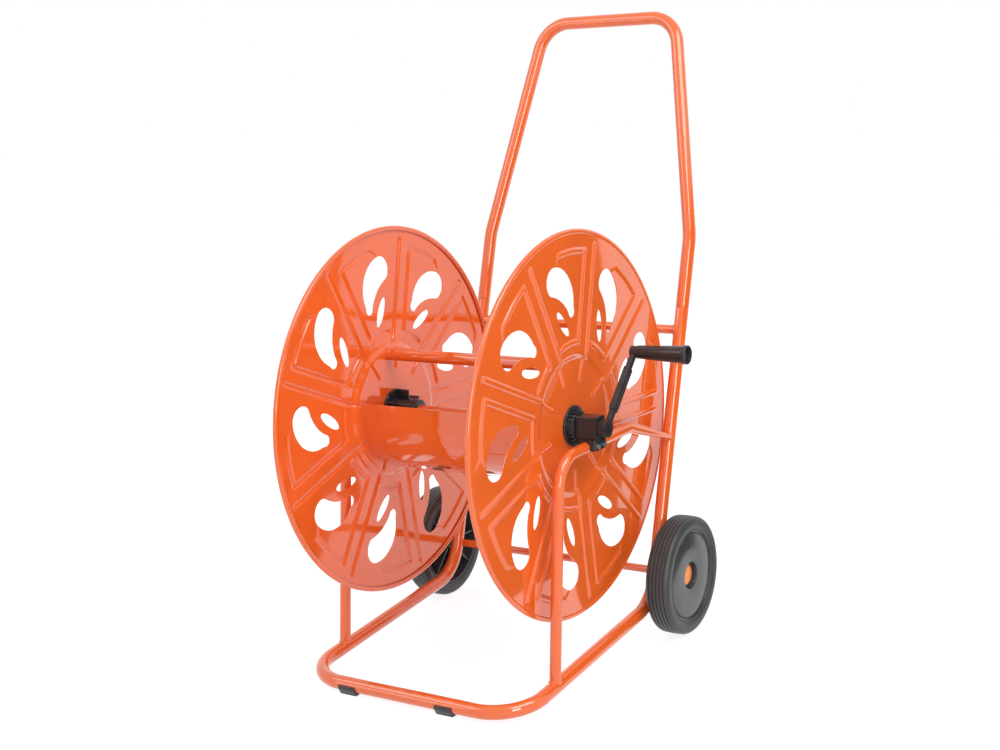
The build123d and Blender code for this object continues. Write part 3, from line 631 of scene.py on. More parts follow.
def rail_height(sizes, y):
    """Height of the rails' centre line, which rises evenly to the rear."""
    return sizes.front_height + (y - sizes.front) * math.tan(sizes.slope)


def upright_point(sizes, height, side):
    """The point of an upright's centre line at a height: it leans back evenly from the rear corner."""
    lean = (height - rail_height(sizes, sizes.corner)) * math.tan(sizes.lean)
    return home + np.array([side * sizes.half_width, sizes.corner + lean, height])


def upright_way(sizes):
    """The direction of the uprights."""
    return np.array([0, math.sin(sizes.lean), math.cos(sizes.lean)])


def base_path(sizes):
    """The base tube's centre line: upright, rail, front bar, rail, upright."""
    corner = rail_height(sizes, sizes.corner)
    left, right = (
        [
            upright_point(sizes, sizes.seam, side), upright_point(sizes, corner, side),
            home + [side * sizes.half_width, sizes.front, sizes.front_height],
        ]
        for side in (-1, 1)
    )
    bends = (sizes.rail_bend, sizes.front_bend, sizes.front_bend, sizes.rail_bend)
    return rounded_path(left + right[::-1], bends)


def handle_path(sizes):
    """The handle's centre line in the leaning plane: side, knee, corner, top bar and back down."""
    seam = (upright_point(sizes, sizes.seam, -1) + upright_point(sizes, sizes.seam, 1)) / 2
    half = [(sizes.half_width, 0.0), (sizes.half_width, sizes.knee), (sizes.handle_half, sizes.handle_rise)]
    corners = np.array([(-x, rise) for x, rise in half] + half[::-1])
    points = seam + corners[:, :1] * crosswise + corners[:, 1:] * upright_way(sizes)
    return rounded_path(points, (sizes.knee_bend, sizes.handle_bend, sizes.handle_bend, sizes.knee_bend))


def leg_lines(sizes, side):
    """The leg's corner points on one side, and the direction of its falling end."""
    x = side * sizes.half_width
    foot = np.array([x, sizes.leg_foot, rail_height(sizes, sizes.leg_foot)])
    lean = (sizes.leg_top - foot[2]) * math.tan(sizes.leg_lean)
    bend = np.array([x, sizes.leg_foot + lean, sizes.leg_top])
    knee = np.array([x, sizes.leg_knee, sizes.leg_top])
    end = upright_point(sizes, sizes.leg_end, side)
    return home + foot, home + bend, home + knee, end, unit(end - home - knee)


def pressed(wide, thin, turn):
    """The section of a tube that is pressed flat: two half circles of its thickness, moved apart to its
    width."""
    side = np.sign(np.round(np.cos(turn), 9))
    return np.stack([(wide - thin) * side + thin * np.cos(turn), thin * np.sin(turn)], axis=-1)


def leg_surface(sizes, side):
    """A leg: a round tube from the rail, over its bend, to an end that is pressed flat. Its section goes from
    a circle to a flat tube's along the falling run."""
    foot, bend, knee, end, fall = leg_lines(sizes, side)
    corners = [foot, bend, knee, end - fall * sizes.radius * leg_sink]
    path = rounded_path(corners, (sizes.leg_bend, sizes.leg_knee_bend))
    share = np.linspace(0, 1, 14)[1:]
    path = np.concatenate([path[:-1], path[-2] + share[:, None] * (path[-1] - path[-2])])
    share = np.concatenate([np.zeros(len(path) - len(share)), smooth(share)])[:, None]
    wide = sizes.leg_radius + share * (sizes.leg_end_wide - sizes.leg_radius)
    thin = sizes.leg_radius + share * (sizes.leg_end_thin - sizes.leg_radius)
    return swept(path, pressed(wide, thin, turns(40)), crosswise)


def weld(sizes, place, way, wide, thin, side_way, other_way):
    """A bead round a tube's end on a frame tube at a place: the tube's outline runs along its way until it
    lies on the other's surface, which is a square root, and a small rippled circle is carried along that
    line."""
    side_way = unit(side_way - (side_way @ way) * way)
    turn = turns(72)
    ring = pressed(wide, thin, turn) @ np.stack([side_way, np.cross(way, side_way)]) - way * weld_start
    flat = ring - (ring @ other_way)[:, None] * other_way
    slope = way - (way @ other_way) * other_way
    a, b, c = slope @ slope, flat @ slope, (flat * flat).sum(1) - sizes.radius ** 2
    reach = (-b - np.sqrt(np.maximum(b * b - a * c, 0))) / a
    line = place + ring + reach[:, None] * way
    thick = sizes.bead * (1 + bead_ripple * np.sin(bead_ripples * turn))
    return swept(line, circle(1.0, 12) * thick[:, None, None], way, closed=True)


def cross_ends(sizes):
    """Where the cross bar's line meets the uprights' centre lines, left and right."""
    drop = upright_way(sizes) * sizes.cross_drop
    return [upright_point(sizes, sizes.seam, side) - drop for side in (-1, 1)]


def frame_welds(sizes):
    """The beads of both sides: leg on rail, leg on upright and cross bar on upright."""
    up = upright_way(sizes)
    rail_way = np.array([0, math.cos(sizes.slope), math.sin(sizes.slope)])
    leg, wide, thin, cross = sizes.leg_radius, sizes.leg_end_wide, sizes.leg_end_thin, sizes.cross_radius
    beads = []
    for side, middle in zip((-1, 1), cross_ends(sizes)):
        foot, bend, _, end, fall = leg_lines(sizes, side)
        beads.append(weld(sizes, foot, unit(foot - bend), leg, leg, crosswise, rail_way))
        beads.append(weld(sizes, end, fall, wide, thin, crosswise, up))
        beads.append(weld(sizes, middle, side * crosswise, cross, cross, up, up))
    return joined(*beads)


class CART_OT_frame(bpy.types.Operator):
    """Bends the base, handle, legs and cross bar, and lays the weld beads"""

    bl_idname = "cart.frame"
    bl_label = "Tube frame"

    def execute(self, context):
        sizes = context.scene.cart_tubes
        paint = "powder coated steel"
        up = upright_way(sizes)
        base = tube(base_path(sizes), sizes.radius, (0, -1.0, 1.0), 48, sizes.end_round)
        piece("base_tube", base, paint, "frame", ["base_frame"])
        handle = tube(handle_path(sizes), sizes.radius, np.cross(up, crosswise), 48, sizes.end_round)
        piece("handle_tube", handle, paint, "frame", ["handle_bow"])
        left, right = cross_ends(sizes)
        sink = crosswise * sizes.radius * cross_sink
        cross = tube([left + sink, right - sink], sizes.cross_radius, up, 32)
        piece("cross_tube", cross, paint, "frame", ["cross_bar"])
        for side, name in ((-1, "left"), (1, "right")):
            piece(f"leg_tube_{name}", leg_surface(sizes, side), paint, "frame", [f"leg_{name}"])
        piece("weld_beads", frame_welds(sizes), paint, "frame")
        paint_nodes(paint, "axle")
        return {"FINISHED"}


# Pressed discs

# The comma of one sector in millimetres, out from the axis and across the sector's middle line: four arcs,
# each from a point of the first column or the third, through the next point, to the one after that
comma_points = (
    (162.0, -26.5), (149.5, -20.3), (158.5, -10.5), (176.0, 3.0),
    (192.0, 31.5), (211.0, 37.5), (227.5, 12.5), (208.0, -19.5),
)
comma_passes = 8
leaf_centre, leaf_halves, leaf_turn = (147.0, 6.5), (23.0, 7.5), math.radians(33.0)
outline_step = 1.2
# Ribs in metres: where each line starts and ends, and the bracket's two arcs with their spans
long_rib, rib_tail, bracket_rib = (0.104, 0.250), (0.064, 0.104), (0.116, 0.240)
bracket_arcs = ((0.116, math.radians(22.0)), (0.240, math.radians(17.0)))
# Rows of points beside a rib's line and past its ends, in half widths, and their step along it
rib_rows = np.array([-1.12, -1, -0.85, -0.7, -0.5, -0.27, 0, 0.27, 0.5, 0.7, 0.85, 1, 1.12])
rib_ends = np.array([0, 0.4, 0.7, 1, 1.12])
rib_step = 0.0035
# The arcs' rows start past those of their spoke line
arc_lead = 1.3
rim_steps, hole_steps, curl_steps = 288, 48, 26
zone_ring = 0.045
# No cut-out reaches further from its middle, and loose points keep clear of its edge and of the hole's
cut_reach, cut_clear, hole_clear = 0.06, 1.04, 0.998


def through_arc(first, middle, last, steps):
    """Points of the circle through three points, from the first to the last by way of the middle one."""
    a, b, c = (complex(*p) for p in (first, middle, last))
    w = (c - a) / (b - a)
    centre = (b - a) * (w - abs(w) ** 2) / (2j * w.imag) + a
    start, way, end = (np.angle(p - centre) for p in (a, b, c))
    turn = (end - start) % full_turn
    if (way - start) % full_turn > turn:
        turn -= full_turn
    points = centre + abs(a - centre) * np.exp(1j * (start + np.linspace(0, turn, steps, endpoint=False)))
    return np.stack([points.real, points.imag], axis=-1)


def cut_outlines():
    """The comma and the leaf of one sector, as (out, across) points in metres. The comma is four arcs with
    their kinks rounded, and the leaf is an ellipse."""
    ends = comma_points[::2]
    arcs = zip(ends, comma_points[1::2], ends[1:] + ends[:1])
    comma = np.concatenate([through_arc(*arc, 40) for arc in arcs])
    comma = blunted(evened(comma, outline_step), comma_passes) / 1000
    leaf = spun(circle(1.0, 48) * leaf_halves, leaf_turn) + leaf_centre
    return comma, evened(leaf, outline_step) / 1000


def from_line(points, start, end, offset):
    """Distance to a straight line beside the first axis, from start to end, at an offset."""
    along = np.maximum(np.maximum(start - points[:, 0], points[:, 0] - end), 0)
    return np.hypot(along, points[:, 1] - offset)


def from_arc(points, radius, start, span):
    """Distance to an arc round the axis."""
    out = np.hypot(points[:, 0], points[:, 1])
    turn = np.arctan2(points[:, 1], points[:, 0]) - start
    past = np.maximum(np.maximum(-turn, turn - span), 0)
    return np.hypot(out - radius, out * past)


def bracket_start(sizes, radius):
    """The turn at which a bracket's arc leaves its spoke line, from the sector's middle."""
    return math.asin(sizes.spoke_gap / radius) - math.pi / sizes.sectors


def crest(distance, flat, half, height):
    """A rib's height: full on its crest, zero past its half width, and a smooth S between."""
    return height * smooth((half - distance) / (half - flat))


def relief(points, sizes):
    """The sheet's height over a flat disc: the dish, the step beside the rim, a bow, and in each sector a
    long rib with a tail that runs down into the hub zone, and a bracket of one spoke line with two arcs. All
    sectors are folded onto one by their angle."""
    sector = full_turn / sizes.sectors
    out = np.hypot(points[:, 0], points[:, 1])
    turn = np.arctan2(points[:, 1], points[:, 0])
    turn = turn - sector * np.round(turn / sector)
    local = polar(out, turn)
    ahead, behind = spun(local, -sector / 2), spun(local, sector / 2)
    gap = sizes.spoke_gap
    distance = np.minimum(from_line(ahead, *long_rib, -gap), from_line(behind, *bracket_rib, gap))
    for radius, span in bracket_arcs:
        distance = np.minimum(distance, from_arc(local, radius, bracket_start(sizes, radius), span))
    height = crest(distance, sizes.rib_flat, sizes.rib_half, sizes.rib_height)
    tail = from_line(spun(ahead, sizes.tail_turn), *rib_tail, 0.0)
    height = np.maximum(height, crest(tail, sizes.rib_flat / 2, sizes.tail_half, sizes.tail_height))
    height = height - sizes.dish_depth * (1 - smooth((out - sizes.dish) / sizes.dish_flank))
    start, end = sizes.dish + sizes.dish_flank, sizes.radius - sizes.rim_band
    sweep = np.clip((out - start) / (end - start), 0, 1)
    bow = sizes.panel_bow * (np.cos(math.pi * turn / sector) * np.sin(math.pi * sweep)) ** 2
    return height + bow + sizes.rim_step * smooth((out - end) / (2 * sizes.rim_step))


def rib_points(sizes):
    """Points laid along one sector's ribs: rows beside each line, close across it and wider along it."""
    middle, gap = math.pi / sizes.sectors, sizes.spoke_gap
    lines = (
        (long_rib, -gap, middle, sizes.rib_half), (bracket_rib, gap, -middle, sizes.rib_half),
        (rib_tail, 0.0, middle - sizes.tail_turn, sizes.tail_half),
    )
    rows = []
    for (start, end), offset, turn, half in lines:
        steps = np.arange(start, end, rib_step)
        along = np.concatenate([start - half * rib_ends[:0:-1], steps, end + half * rib_ends])
        out, beside = np.meshgrid(along, offset + half * rib_rows, indexing="ij")
        rows.append(spun(np.stack([out, beside], axis=-1).reshape(-1, 2), turn))
    half = sizes.rib_half
    for radius, span in bracket_arcs:
        steps = np.arange(half * arc_lead / radius, span + half / radius, rib_step / radius)
        turn = bracket_start(sizes, radius) + steps
        turn, out = np.meshgrid(turn, radius + half * rib_rows, indexing="ij")
        rows.append(polar(out, turn).reshape(-1, 2))
    return np.concatenate(rows)


def inside(points, loop):
    """Which points lie in a closed outline, by counting its crossings of a line from each point."""
    x, y = points[:, :1], points[:, 1:]
    after = np.roll(loop, -1, axis=0)
    straddles = (loop[:, 1] > y) != (after[:, 1] > y)
    rise = after[:, 1] - loop[:, 1]
    rise = np.where(rise == 0, 1e-12, rise)
    crossing = loop[:, 0] + (y - loop[:, 1]) * (after[:, 0] - loop[:, 0]) / rise
    return (np.count_nonzero(straddles & (x < crossing), axis=1) % 2) == 1


def outside(points, loops, grow):
    """Which points lie outside every cut-out, each grown a little about its middle."""
    keep = np.ones(len(points), bool)
    for loop in loops:
        middle = loop.mean(axis=0)
        near = np.abs(points - middle).max(axis=1) < cut_reach
        keep[near] &= ~inside(points[near], middle + (loop - middle) * grow)
    return keep


def flat_net(sizes, edge):
    """Triangles of the flat sheet between the hub's hole and the rim, with edges along the cut-outs and
    close rows of points along the ribs, the dish's flank and the rim's step."""
    ways = turns(sizes.sectors)
    cuts = [spun(outline, turn) for outline in cut_outlines() for turn in ways]
    loops = [circle(edge, rim_steps), circle(sizes.hole, hole_steps)] + cuts
    flank = sizes.dish + sizes.dish_flank * np.linspace(-0.15, 1.15, 10)
    band = sizes.radius - sizes.rim_band + 2 * sizes.rim_step * np.linspace(-0.4, 1.4, 7)
    rings = [circle(radius, rim_steps) for radius in (*flank, *band, zone_ring)]
    ribs = rib_points(sizes)
    loose = np.concatenate([spun(ribs, turn) for turn in ways] + rings)
    loose = loose[(np.hypot(*loose.T) < edge - sizes.rim_step) & outside(loose, cuts, cut_clear)]
    firsts = np.cumsum([0] + [len(loop) for loop in loops[:-1]])
    numbers = [first + np.arange(len(loop)) for loop, first in zip(loops, firsts)]
    edges = np.concatenate([np.stack([row, np.roll(row, -1)], axis=1) for row in numbers])
    net = delaunay_2d_cdt(np.concatenate(loops + [loose]).tolist(), edges.tolist(), [], 0, double_gap)
    flat, triangles = np.array(net[0]), np.array(net[2])
    middle = flat[triangles].mean(axis=1)
    out = np.hypot(*middle.T)
    in_sheet = (out > sizes.hole * hole_clear) & (out < edge) & outside(middle, cuts, 1.0)
    triangles = triangles[in_sheet]
    first, second, third = (flat[triangles[:, k]] for k in range(3))
    area = np.cross(second - first, third - first)
    return flat, np.where((area < 0)[:, None], triangles[:, ::-1], triangles)


def open_edges(triangles):
    """The edges that only one triangle has."""
    sides = np.concatenate([triangles[:, [0, 1]], triangles[:, [1, 2]], triangles[:, [2, 0]]])
    _, where, uses = np.unique(np.sort(sides, axis=1), axis=0, return_index=True, return_counts=True)
    return sides[where[uses == 1]]


def curl_section(sizes, edge):
    """The curled rim's section as (x, radius): three quarters of a circle, out along its outer side and back
    along its inner side."""
    bow = np.linspace(right_angle, -math.pi, curl_steps)
    centre = np.array([sizes.panel + sizes.rim_step + sizes.sheet / 2 - sizes.curl, edge])
    arc = np.stack([np.sin(bow), np.cos(bow)], axis=-1)
    outer, inner = centre + sizes.curl * arc, centre + (sizes.curl - sizes.sheet) * arc
    return np.concatenate([outer[1:], inner[:0:-1]])


def disc_sheet(sizes):
    """One pressed disc, facing +X with its axis on the X line through zero: a flat net of triangles round
    the cut-outs, lifted by the relief, given its thickness along the relief's normals, and joined to a curled
    rim."""
    edge = sizes.radius - sizes.curl
    flat, triangles = flat_net(sizes, edge)
    total, step = len(flat), 1e-5
    slope = [relief(flat + move, sizes) - relief(flat - move, sizes) for move in ([step, 0], [0, step])]
    normal = unit(np.column_stack([np.full(total, 2 * step), -slope[0], -slope[1]]))
    sheet = np.column_stack([relief(flat, sizes) + sizes.panel, flat])
    outer, inner = sheet + normal * sizes.sheet / 2, sheet - normal * sizes.sheet / 2
    sides = open_edges(triangles)
    on_rim = np.hypot(*flat[sides].mean(axis=1).T) > edge - 2 * sizes.rim_step
    start, end = sides[~on_rim].T
    walls = np.stack([end, start, start + total, end + total], axis=1)
    ring = sides[on_rim][:, 0]
    turn = np.arctan2(flat[ring, 1], flat[ring, 0])
    ring, turn = ring[np.argsort(turn)], np.sort(turn)
    rows = lathe(curl_section(sizes, edge), turn)
    numbers = 2 * total + np.arange(rows[..., 0].size).reshape(rows.shape[:2])
    numbers = np.concatenate([ring[None], numbers, ring[None] + total])
    after = np.roll(numbers, -1, axis=1)
    rim = np.stack([numbers[1:], after[1:], after[:-1], numbers[:-1]], axis=-1).reshape(-1, 4)
    points = np.concatenate([outer, inner, rows.reshape(-1, 3)])
    return points, [triangles, triangles[:, ::-1] + total, walls, rim]


def placed_disc(part, turn):
    """A disc turned about the reel's axis to its place on the crank side."""
    points, faces = part
    return np.column_stack([points[:, 0], spun(points[:, 1:], turn)]) + reel_axis, faces


class CART_OT_discs(bpy.types.Operator):
    """Presses the two discs"""

    bl_idname = "cart.discs"
    bl_label = "Pressed discs"

    def execute(self, context):
        sizes = context.scene.cart_reel
        sheet = disc_sheet(sizes)
        for side, turn, signs in (("right", sizes.right_turn, as_is), ("left", sizes.left_turn, half_turn)):
            disc = flipped(placed_disc(sheet, turn), signs)
            piece(f"pressed_disc_{side}", disc, "powder coated steel", "reel", [f"disc_{side}"], 40.0)
        return {"FINISHED"}


# Drum, hubs and crank


def zone_faces(sizes):
    """The two faces of a disc's hub zone, from the middle."""
    zone = sizes.panel - sizes.dish_depth
    return zone - sizes.sheet / 2, zone + sizes.sheet / 2


def drum_section(sizes):
    """The drum sheet's section: an arc with a straight strip at each end, turned out by the flare and rounded
    at the bend, drawn once along its outer side and back along its inner side. A shallow cosine along the arc
    makes the flats that the rolls leave."""
    half = sizes.drum_arc / 2
    middle = sizes.drum_radius - sizes.drum_sheet / 2
    bend = np.linspace(-half, half, 181)
    wave = sizes.drum_wave * np.cos(full_turn * middle / sizes.drum_pitch * bend)
    arc = (middle + wave) * np.exp(1j * bend)
    strip = sizes.drum_strip * np.exp(1j * (right_angle + half - sizes.drum_flare))
    line = np.concatenate([[arc[0] + np.conj(strip)], arc, [arc[-1] + strip]])
    line = softened(np.stack([line.real, line.imag], axis=-1), sizes.drum_bend)
    ahead = unit(np.gradient(line, axis=0))
    normal = np.stack([ahead[:, 1], -ahead[:, 0]], axis=-1) * sizes.drum_sheet / 2
    return spun(np.concatenate([line + normal, (line - normal)[::-1]]), sizes.drum_turn)


def across_reel(end, y=0.0, z=0.0):
    """Two points of a line along X at a place beside the reel's axis, as far as an end on both sides."""
    return reel_axis + [[-end, y, z], [end, y, z]]


class CART_OT_drum(bpy.types.Operator):
    """Rolls the drum's sheet and sets the tie tubes and the spindle"""

    bl_idname = "cart.drum"
    bl_label = "Drum"

    def execute(self, context):
        sizes, hubs = context.scene.cart_reel, context.scene.cart_hubs
        paint = "powder coated steel"
        face, _ = zone_faces(sizes)
        drum = swept(across_reel(face), drum_section(sizes), rearward)
        piece("drum_sheet", drum, paint, "reel", ["drum_trough"])
        for name, turn in (("top", sizes.tie_top), ("rear", sizes.tie_rear)):
            line = across_reel(face, *polar(sizes.tie_circle, turn))
            tie = tube(line, sizes.tie_radius, rearward)
            piece(f"tie_rod_{name}", tie, paint, "reel", [f"tie_tube_{name}"])
        spindle = tube(across_reel(face - hubs.boss_length / 2), sizes.spindle, rearward)
        piece("spindle_tube", spindle, paint, "reel", ["spindle"])
        return {"FINISHED"}


def ribbed(profile, hubs, times, start, end, wide, low, high):
    """A moulding turned about the reel's axis, with a rib between two radii repeated round it."""
    middle = (low + high) / 2
    rib = bar(*(reel_axis + [[start, 0, middle], [end, 0, middle]]), wide, high - low, hubs.edge)
    return joined(turned(softened(profile, hubs.edge), reel_axis), repeated(rib, times, reel_axis))


def inner_hub(sizes, hubs):
    """The hub inside a disc: a turned boss and flange, with a fin repeated round the boss."""
    face, _ = zone_faces(sizes)
    start, flange = face - hubs.boss_length, face - hubs.flange_thick
    profile = [
        (start, sizes.spindle), (start, hubs.boss), (flange, hubs.boss), (flange, hubs.flange),
        (face, hubs.flange), (face, sizes.hole), (flange, sizes.hole), (flange, sizes.spindle),
        (start, sizes.spindle),
    ]
    root = hubs.boss - hubs.fin_wide / 2
    run = flange - hubs.fin_length, face - hubs.edge
    return ribbed(profile, hubs, hubs.fins, *run, hubs.fin_wide, root, hubs.flange)


def outer_hub(sizes, hubs):
    """The hub outside a disc: a turned flange, crown and journal, with a rib repeated round the crown."""
    inner, face = zone_faces(sizes)
    flange = face + hubs.outer_thick
    crown = flange + hubs.crown_length
    profile = [
        (inner, 0), (inner, sizes.hole), (face, sizes.hole), (face, hubs.outer_flange),
        (flange, hubs.outer_flange), (flange, hubs.crown), (crown, hubs.crown), (crown, hubs.journal),
        (hubs.journal_end, hubs.journal), (hubs.journal_end, 0),
    ]
    root = hubs.crown - hubs.rib_wide / 2
    run = face + hubs.edge, crown
    return ribbed(profile, hubs, hubs.ribs, *run, hubs.rib_wide, root, hubs.crown + hubs.rib_high)


class CART_OT_hubs(bpy.types.Operator):
    """Turns the hubs, rounds the bearing blocks and finishes the screws"""

    bl_idname = "cart.hubs"
    bl_label = "Hubs and bearings"

    def execute(self, context):
        sizes, hubs = context.scene.cart_reel, context.scene.cart_hubs
        nylon = "moulded nylon"
        sides = {"right": as_is, "left": half_turn}
        for name, place, hub in (("finned", "inner", inner_hub), ("crown", "outer", outer_hub)):
            part = hub(sizes, hubs)
            for side, signs in sides.items():
                piece(f"{name}_hub_{side}", flipped(part, signs), nylon, "reel", [f"hub_{place}_{side}"])
        for side in sides:
            eased(f"bearing_{side}", f"bearing_block_{side}", hubs.edge, nylon, "frame")
        paint_nodes("zinc plated steel", "hub_screws", "saddle_screws")
        return {"FINISHED"}


def grip_surface(hubs):
    """The grip: a turned taper with a lip and an open mouth."""
    start = hubs.grip_start
    end = start + hubs.grip_length
    mouth, lip = end - hubs.grip_mouth_deep, end - hubs.grip_lip
    neck = hubs.grip_end - hubs.edge
    profile = softened([
        (start, hubs.grip_bore), (start, hubs.grip_root), (lip - hubs.edge, neck), (lip, hubs.grip_end),
        (end, hubs.grip_end), (end, hubs.grip_mouth), (mouth, hubs.grip_mouth), (mouth, hubs.grip_bore),
        (start, hubs.grip_bore),
    ], 2 * hubs.edge)
    return turned(profile, grip_axis, 64)


class CART_OT_crank(bpy.types.Operator):
    """Rounds the crank's arm, turns its grip and finishes the screw and the pin"""

    bl_idname = "cart.crank"
    bl_label = "Crank"

    def execute(self, context):
        hubs = context.scene.cart_hubs
        eased("crank_lever", "crank_arm", hubs.edge, "moulded nylon", "reel")
        piece("crank_grip", grip_surface(hubs), "moulded nylon", "grip", ["grip"])
        paint_nodes("blackened steel", "crank_screw")
        paint_nodes("zinc plated steel", "grip_pin")
        return {"FINISHED"}


# Wheels and feet


def wheel_surface(sizes):
    """The moulded wheel: a turned section of hub tube, recess, web, face and rim, with a rib repeated behind
    the face."""
    start, end = sizes.inner, sizes.inner + sizes.width
    face = end - sizes.dish
    recess = face - sizes.recess_deep
    floor, back = recess - sizes.web, face - sizes.web
    inside_rim = sizes.rim - sizes.rim_wall
    wall = sizes.recess + sizes.web
    edge, groove = sizes.rim_edge, sizes.face_groove
    body = softened([
        (start, sizes.bore), (start, sizes.hub), (floor, sizes.hub), (floor, wall), (back, wall),
        (back, inside_rim), (start + edge, inside_rim), (start + edge, sizes.rim), (end - edge, sizes.rim),
        (end - edge, inside_rim + edge), (face - groove, inside_rim + edge / 2),
        (face - groove, inside_rim - groove), (face, inside_rim - 1.5 * groove), (face, sizes.recess),
        (recess, sizes.recess), (recess, sizes.bore), (start, sizes.bore),
    ], edge)
    middle, high = (sizes.hub + inside_rim) / 2, inside_rim - sizes.hub + 2 * edge
    line = wheel_axis + [[start + 3 * edge, 0, middle], [recess - sizes.web / 2, 0, middle]]
    rib = bar(*line, sizes.rib_wide, high, edge / 3)
    return joined(turned(body, wheel_axis, 128), repeated(rib, sizes.ribs, wheel_axis))


def tyre_surface(sizes):
    """The tyre: across the tread the radius falls as the square of the distance from the middle, less a
    smooth notch at each groove. Quarter circles make the shoulders, and the sides draw in at the bead on the
    rim."""
    half, shoulder = sizes.width / 2, sizes.shoulder
    flat = half - shoulder
    x = np.linspace(-flat, flat, 241)
    tread = sizes.radius - sizes.crown * (x / flat) ** 2
    places = np.linspace(-flat, flat, sizes.grooves)[:, None]
    notch = crest(np.abs(x - places), sizes.groove / 4, sizes.groove * 0.6, sizes.groove_deep)
    middle = np.stack([x, tread - notch.max(axis=0)], axis=-1)
    turn = np.linspace(0, right_angle, 14)[1:]
    low = sizes.radius - sizes.crown - shoulder
    side = np.stack([flat + shoulder * np.sin(turn), low + shoulder * np.cos(turn)], axis=-1)
    bead, back = sizes.bead, sizes.bead_back
    wall = [
        (half, low - bead), (half - 0.2 * back, sizes.rim + bead),
        (half - 0.68 * back, sizes.rim + 0.2 * bead), (half - back, sizes.rim),
    ]
    right = np.concatenate([side, wall])
    left = right * [-1, 1]
    profile = np.concatenate([left[::-1], middle, right, left[-1:]])
    return turned(profile + [sizes.inner + half, 0], wheel_axis, 160)


def cap_surface(sizes):
    """The axle cap: a turned disc with a sloping edge, deep in the wheel's recess."""
    start = sizes.inner + sizes.width - sizes.dish - sizes.recess_deep + sizes.cap_gap
    top, slope = start + sizes.cap_high, 0.4 * sizes.cap_high
    edge = (top - slope, sizes.cap), (top, sizes.cap - 2 * slope)
    return turned(softened([(start, 0), (start, sizes.cap), *edge, (top, 0)], slope), wheel_axis, 64)


class CART_OT_wheels(bpy.types.Operator):
    """Turns the wheels, tyres and caps, and finishes the washers"""

    bl_idname = "cart.wheels"
    bl_label = "Wheels"

    def execute(self, context):
        sizes = context.scene.cart_wheels
        wheel, tyre, cap = wheel_surface(sizes), tyre_surface(sizes), cap_surface(sizes)
        for side, signs in (("right", as_is), ("left", mirror)):
            body = f"wheel_{side}"
            piece(f"wheel_face_{side}", flipped(wheel, signs), "moulded polyethylene", body, [body])
            rubber, button = f"grooved_tyre_{side}", f"axle_button_{side}"
            piece(rubber, flipped(tyre, signs), "moulded tyre compound", body, [f"tyre_{side}"], 50.0)
            piece(button, flipped(cap, signs), "moulded polypropylene", "frame", [f"axle_cap_{side}"])
        paint_nodes("zinc plated steel", "axle_washers")
        return {"FINISHED"}


def foot_surface(feet, tubes, edge, x):
    """A clip foot: a ring's section from the bar's front, under it, to its rear, with a flat pad below,
    carried along the bar. The section runs out along the outer circle and back along the bar."""
    outer, pad = tubes.radius + feet.wall, feet.pad / 2
    below, meet = 3 * right_angle, math.acos(pad / outer)
    front = outer * np.exp(1j * np.linspace(feet.front, below - meet, 16))
    rear = outer * np.exp(1j * np.linspace(below + meet, feet.rear, 12))
    inner = tubes.radius * np.exp(1j * np.linspace(feet.rear, feet.front, 40))
    line = np.concatenate([front, [-pad - 1j * outer, pad - 1j * outer], rear, inner])
    loop = blunted(evened(np.stack([line.real, line.imag], axis=-1), edge / 2), 2)
    slide, shrink = eased_end(edge, 4)
    middle = unit(loop) * (tubes.radius + feet.wall / 2)
    shrink = np.concatenate([shrink, shrink[::-1]]) / feet.wall
    rows = loop + shrink[:, None, None] * (middle - loop)
    ends = np.concatenate([slide - feet.length / 2, (feet.length / 2 - slide)[::-1]])
    place = home + [x, tubes.front, tubes.front_height]
    return swept(place + ends[:, None] * crosswise, rows, rearward)


class CART_OT_feet(bpy.types.Operator):
    """Sets the clip feet on the front bar"""

    bl_idname = "cart.feet"
    bl_label = "Clip feet"

    def execute(self, context):
        feet, tubes, edge = context.scene.cart_feet, context.scene.cart_tubes, context.scene.cart_hubs.edge
        for side in ("left", "right"):
            foot = foot_surface(feet, tubes, edge, getattr(feet, side))
            piece(f"clip_foot_{side}", foot, "moulded nylon", "frame", [f"foot_{side}"])
        return {"FINISHED"}


# Stage: lengths in metres from home, lamps in watts

floor_half = 12.0
surround_level = 0.56
floor_glow, floor_glow_share = 1.24, 0.7
# The card's line and rise, and the faint glow of the painted dark reflection that it gives the discs
card_line, card_rise, card_level = ((0.41, 0.12, 0), (0.41, 0.6, 0)), (0.05, 0, 0.75), 0.06
lamp_target = (0, 0, 0.4)
# Each lamp: its place, width, height and power, and the rays that don't meet it
lamps = {
    "top_softbox": ((1.3, -0.3, 2.0), 1.5, 1.0, 24, None),
    "left_softbox": ((-1.4, -1.3, 2.0), 1.4, 1.0, 10, None),
    "right_strip": ((2.1, -1.4, 1.0), 0.7, 1.2, 20, "visible_diffuse"),
    "left_strip": ((-1.4, -2.1, 0.6), 0.6, 0.8, 2.5, "visible_diffuse"),
    "front_fill": ((1.5, -2.0, 0.4), 1.0, 0.8, 11, "visible_glossy"),
    "rear_fill": ((-1.6, 1.8, 1.3), 1.2, 1.0, 24, "visible_glossy"),
}
# The photograph's camera: its place, its right and up, and its focal length in picture widths
camera_place = (1.2147, -1.8212, 0.8458)
camera_right, camera_up = (0.8438, 0.5344, -0.0494), (-0.0631, 0.1901, 0.9797)
camera_focus, camera_sensor = 1.5726, 36.0


def facing(place, right, up):
    """A matrix that puts an object at a place with its first two axes along two directions."""
    right = unit(np.asarray(right, float))
    back = unit(np.cross(right, up))
    turn = np.stack([right, np.cross(back, right), back], axis=1)
    return Matrix(np.vstack([np.column_stack([turn, place]), [0, 0, 0, 1]]).tolist())


